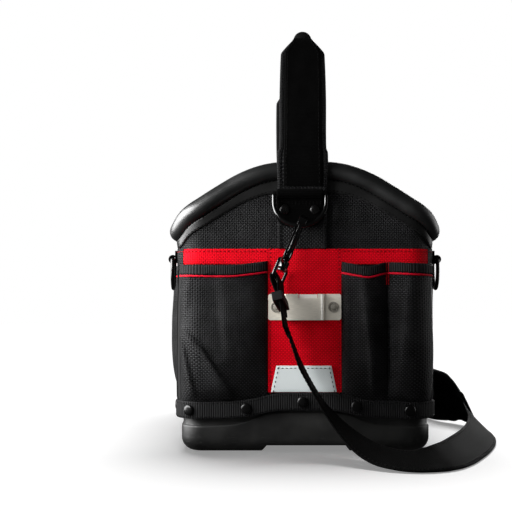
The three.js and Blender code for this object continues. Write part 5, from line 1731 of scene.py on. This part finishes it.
# kind, place, aim, power, width or angle, whether surfaces mirror it
lights = {
    "overhead": ("SUN", (0.05, 1.1, 3), (0, 0, 0), 2.8, math.radians(40), False),
    "key": ("AREA", (-0.43, -0.42, 0.35), (-0.06, -0.19, 0.22), 5, 0.34, True),
    "edge": ("AREA", (-0.9, -0.1, 0.4), (-0.1, 0, 0.25), 28, 0.8, True),
    "fill": ("AREA", (-0.35, -1.5, 0.3), (0, -0.2, 0.2), 5.4, 0.9, False),
    "rightSide": ("AREA", (1.7, 0.45, 0.4), (0.1, 0, 0.2), 10, 1.2, True),
    "farSide": ("AREA", (0.5, 1.7, 0.6), (0, 0.2, 0.2), 34, 1.2, True),
}
view = {
    "place": (-0.052, -1.19, 0.163), "tilt": 92.32, "focalPixels": 961.5, "pictureWidth": 512,
    "sensor": 36,
}


def makeWorld():
    world = bpy.data.worlds.new("studio")
    bpy.context.scene.world = world
    world.use_nodes = True
    tree = world.node_tree
    tree.nodes.clear()
    rays = addNode(tree, "ShaderNodeLightPath").outputs
    shown = {
        name: addNode(tree, "ShaderNodeBackground", {"Color": (1, 1, 1, 1), "Strength": strength})
        for name, strength in worldLight.items()
    }
    inputs = {
        0: rays["Is Glossy Ray"], 1: shown["lit"].outputs[0], 2: shown["mirrored"].outputs[0],
    }
    soft = addNode(tree, "ShaderNodeMixShader", inputs)
    inputs = {0: rays["Is Camera Ray"], 1: soft.outputs[0], 2: shown["seen"].outputs[0]}
    mix = addNode(tree, "ShaderNodeMixShader", inputs)
    addNode(tree, "ShaderNodeOutputWorld", {0: mix.outputs[0]})


def makeFloor():
    reach = floorShade["reach"]
    plan = ((-1, -1), (1, -1), (1, 1), (-1, 1))
    mesh = bpy.data.meshes.new("floor")
    mesh.from_pydata([(x * reach, y * reach, 0) for x, y in plan], [], [(0, 1, 2, 3)])
    material, tree, shader = startMaterial("floor", 0.9, 0.05)
    setInputs(tree, shader, {
        "Base Color": (*grey(floorShade["colour"]), 1), "Emission Color": (1, 1, 1, 1),
        "Emission Strength": floorShade["glow"],
    })
    mesh.materials.append(material)
    floor = addObject("floor", mesh)
    floor.visible_diffuse = False
    floor.visible_glossy = False
    return floor


def makeStage():
    makeWorld()
    # the area lights leave the floor to the overhead light
    floorOnly = bpy.data.collections.new("floorOnly")
    floorOnly.objects.link(makeFloor())
    floorOnly.collection_objects[0].light_linking.link_state = "EXCLUDE"
    for name, (kind, place, aim, power, size, mirrored) in lights.items():
        light = bpy.data.lights.new(name, kind)
        light.energy = power
        holder = addObject(name, light)
        if kind == "SUN":
            light.angle = size
        else:
            light.size = size
            holder.light_linking.receiver_collection = floorOnly
        holder.location = place
        holder.rotation_euler = (Vector(aim) - Vector(place)).to_track_quat("-Z", "Y").to_euler()
        holder.visible_camera = False
        holder.visible_glossy = mirrored

    camera = bpy.data.cameras.new("camera")
    camera.lens = view["focalPixels"] / view["pictureWidth"] * view["sensor"]
    camera.sensor_width = view["sensor"]
    holder = addObject("camera", camera)
    holder.location = view["place"]
    holder.rotation_euler = (math.radians(view["tilt"]), 0, 0)
    bpy.context.scene.camera = holder
    bpy.context.scene.view_settings.view_transform = "Standard"


makeStage()
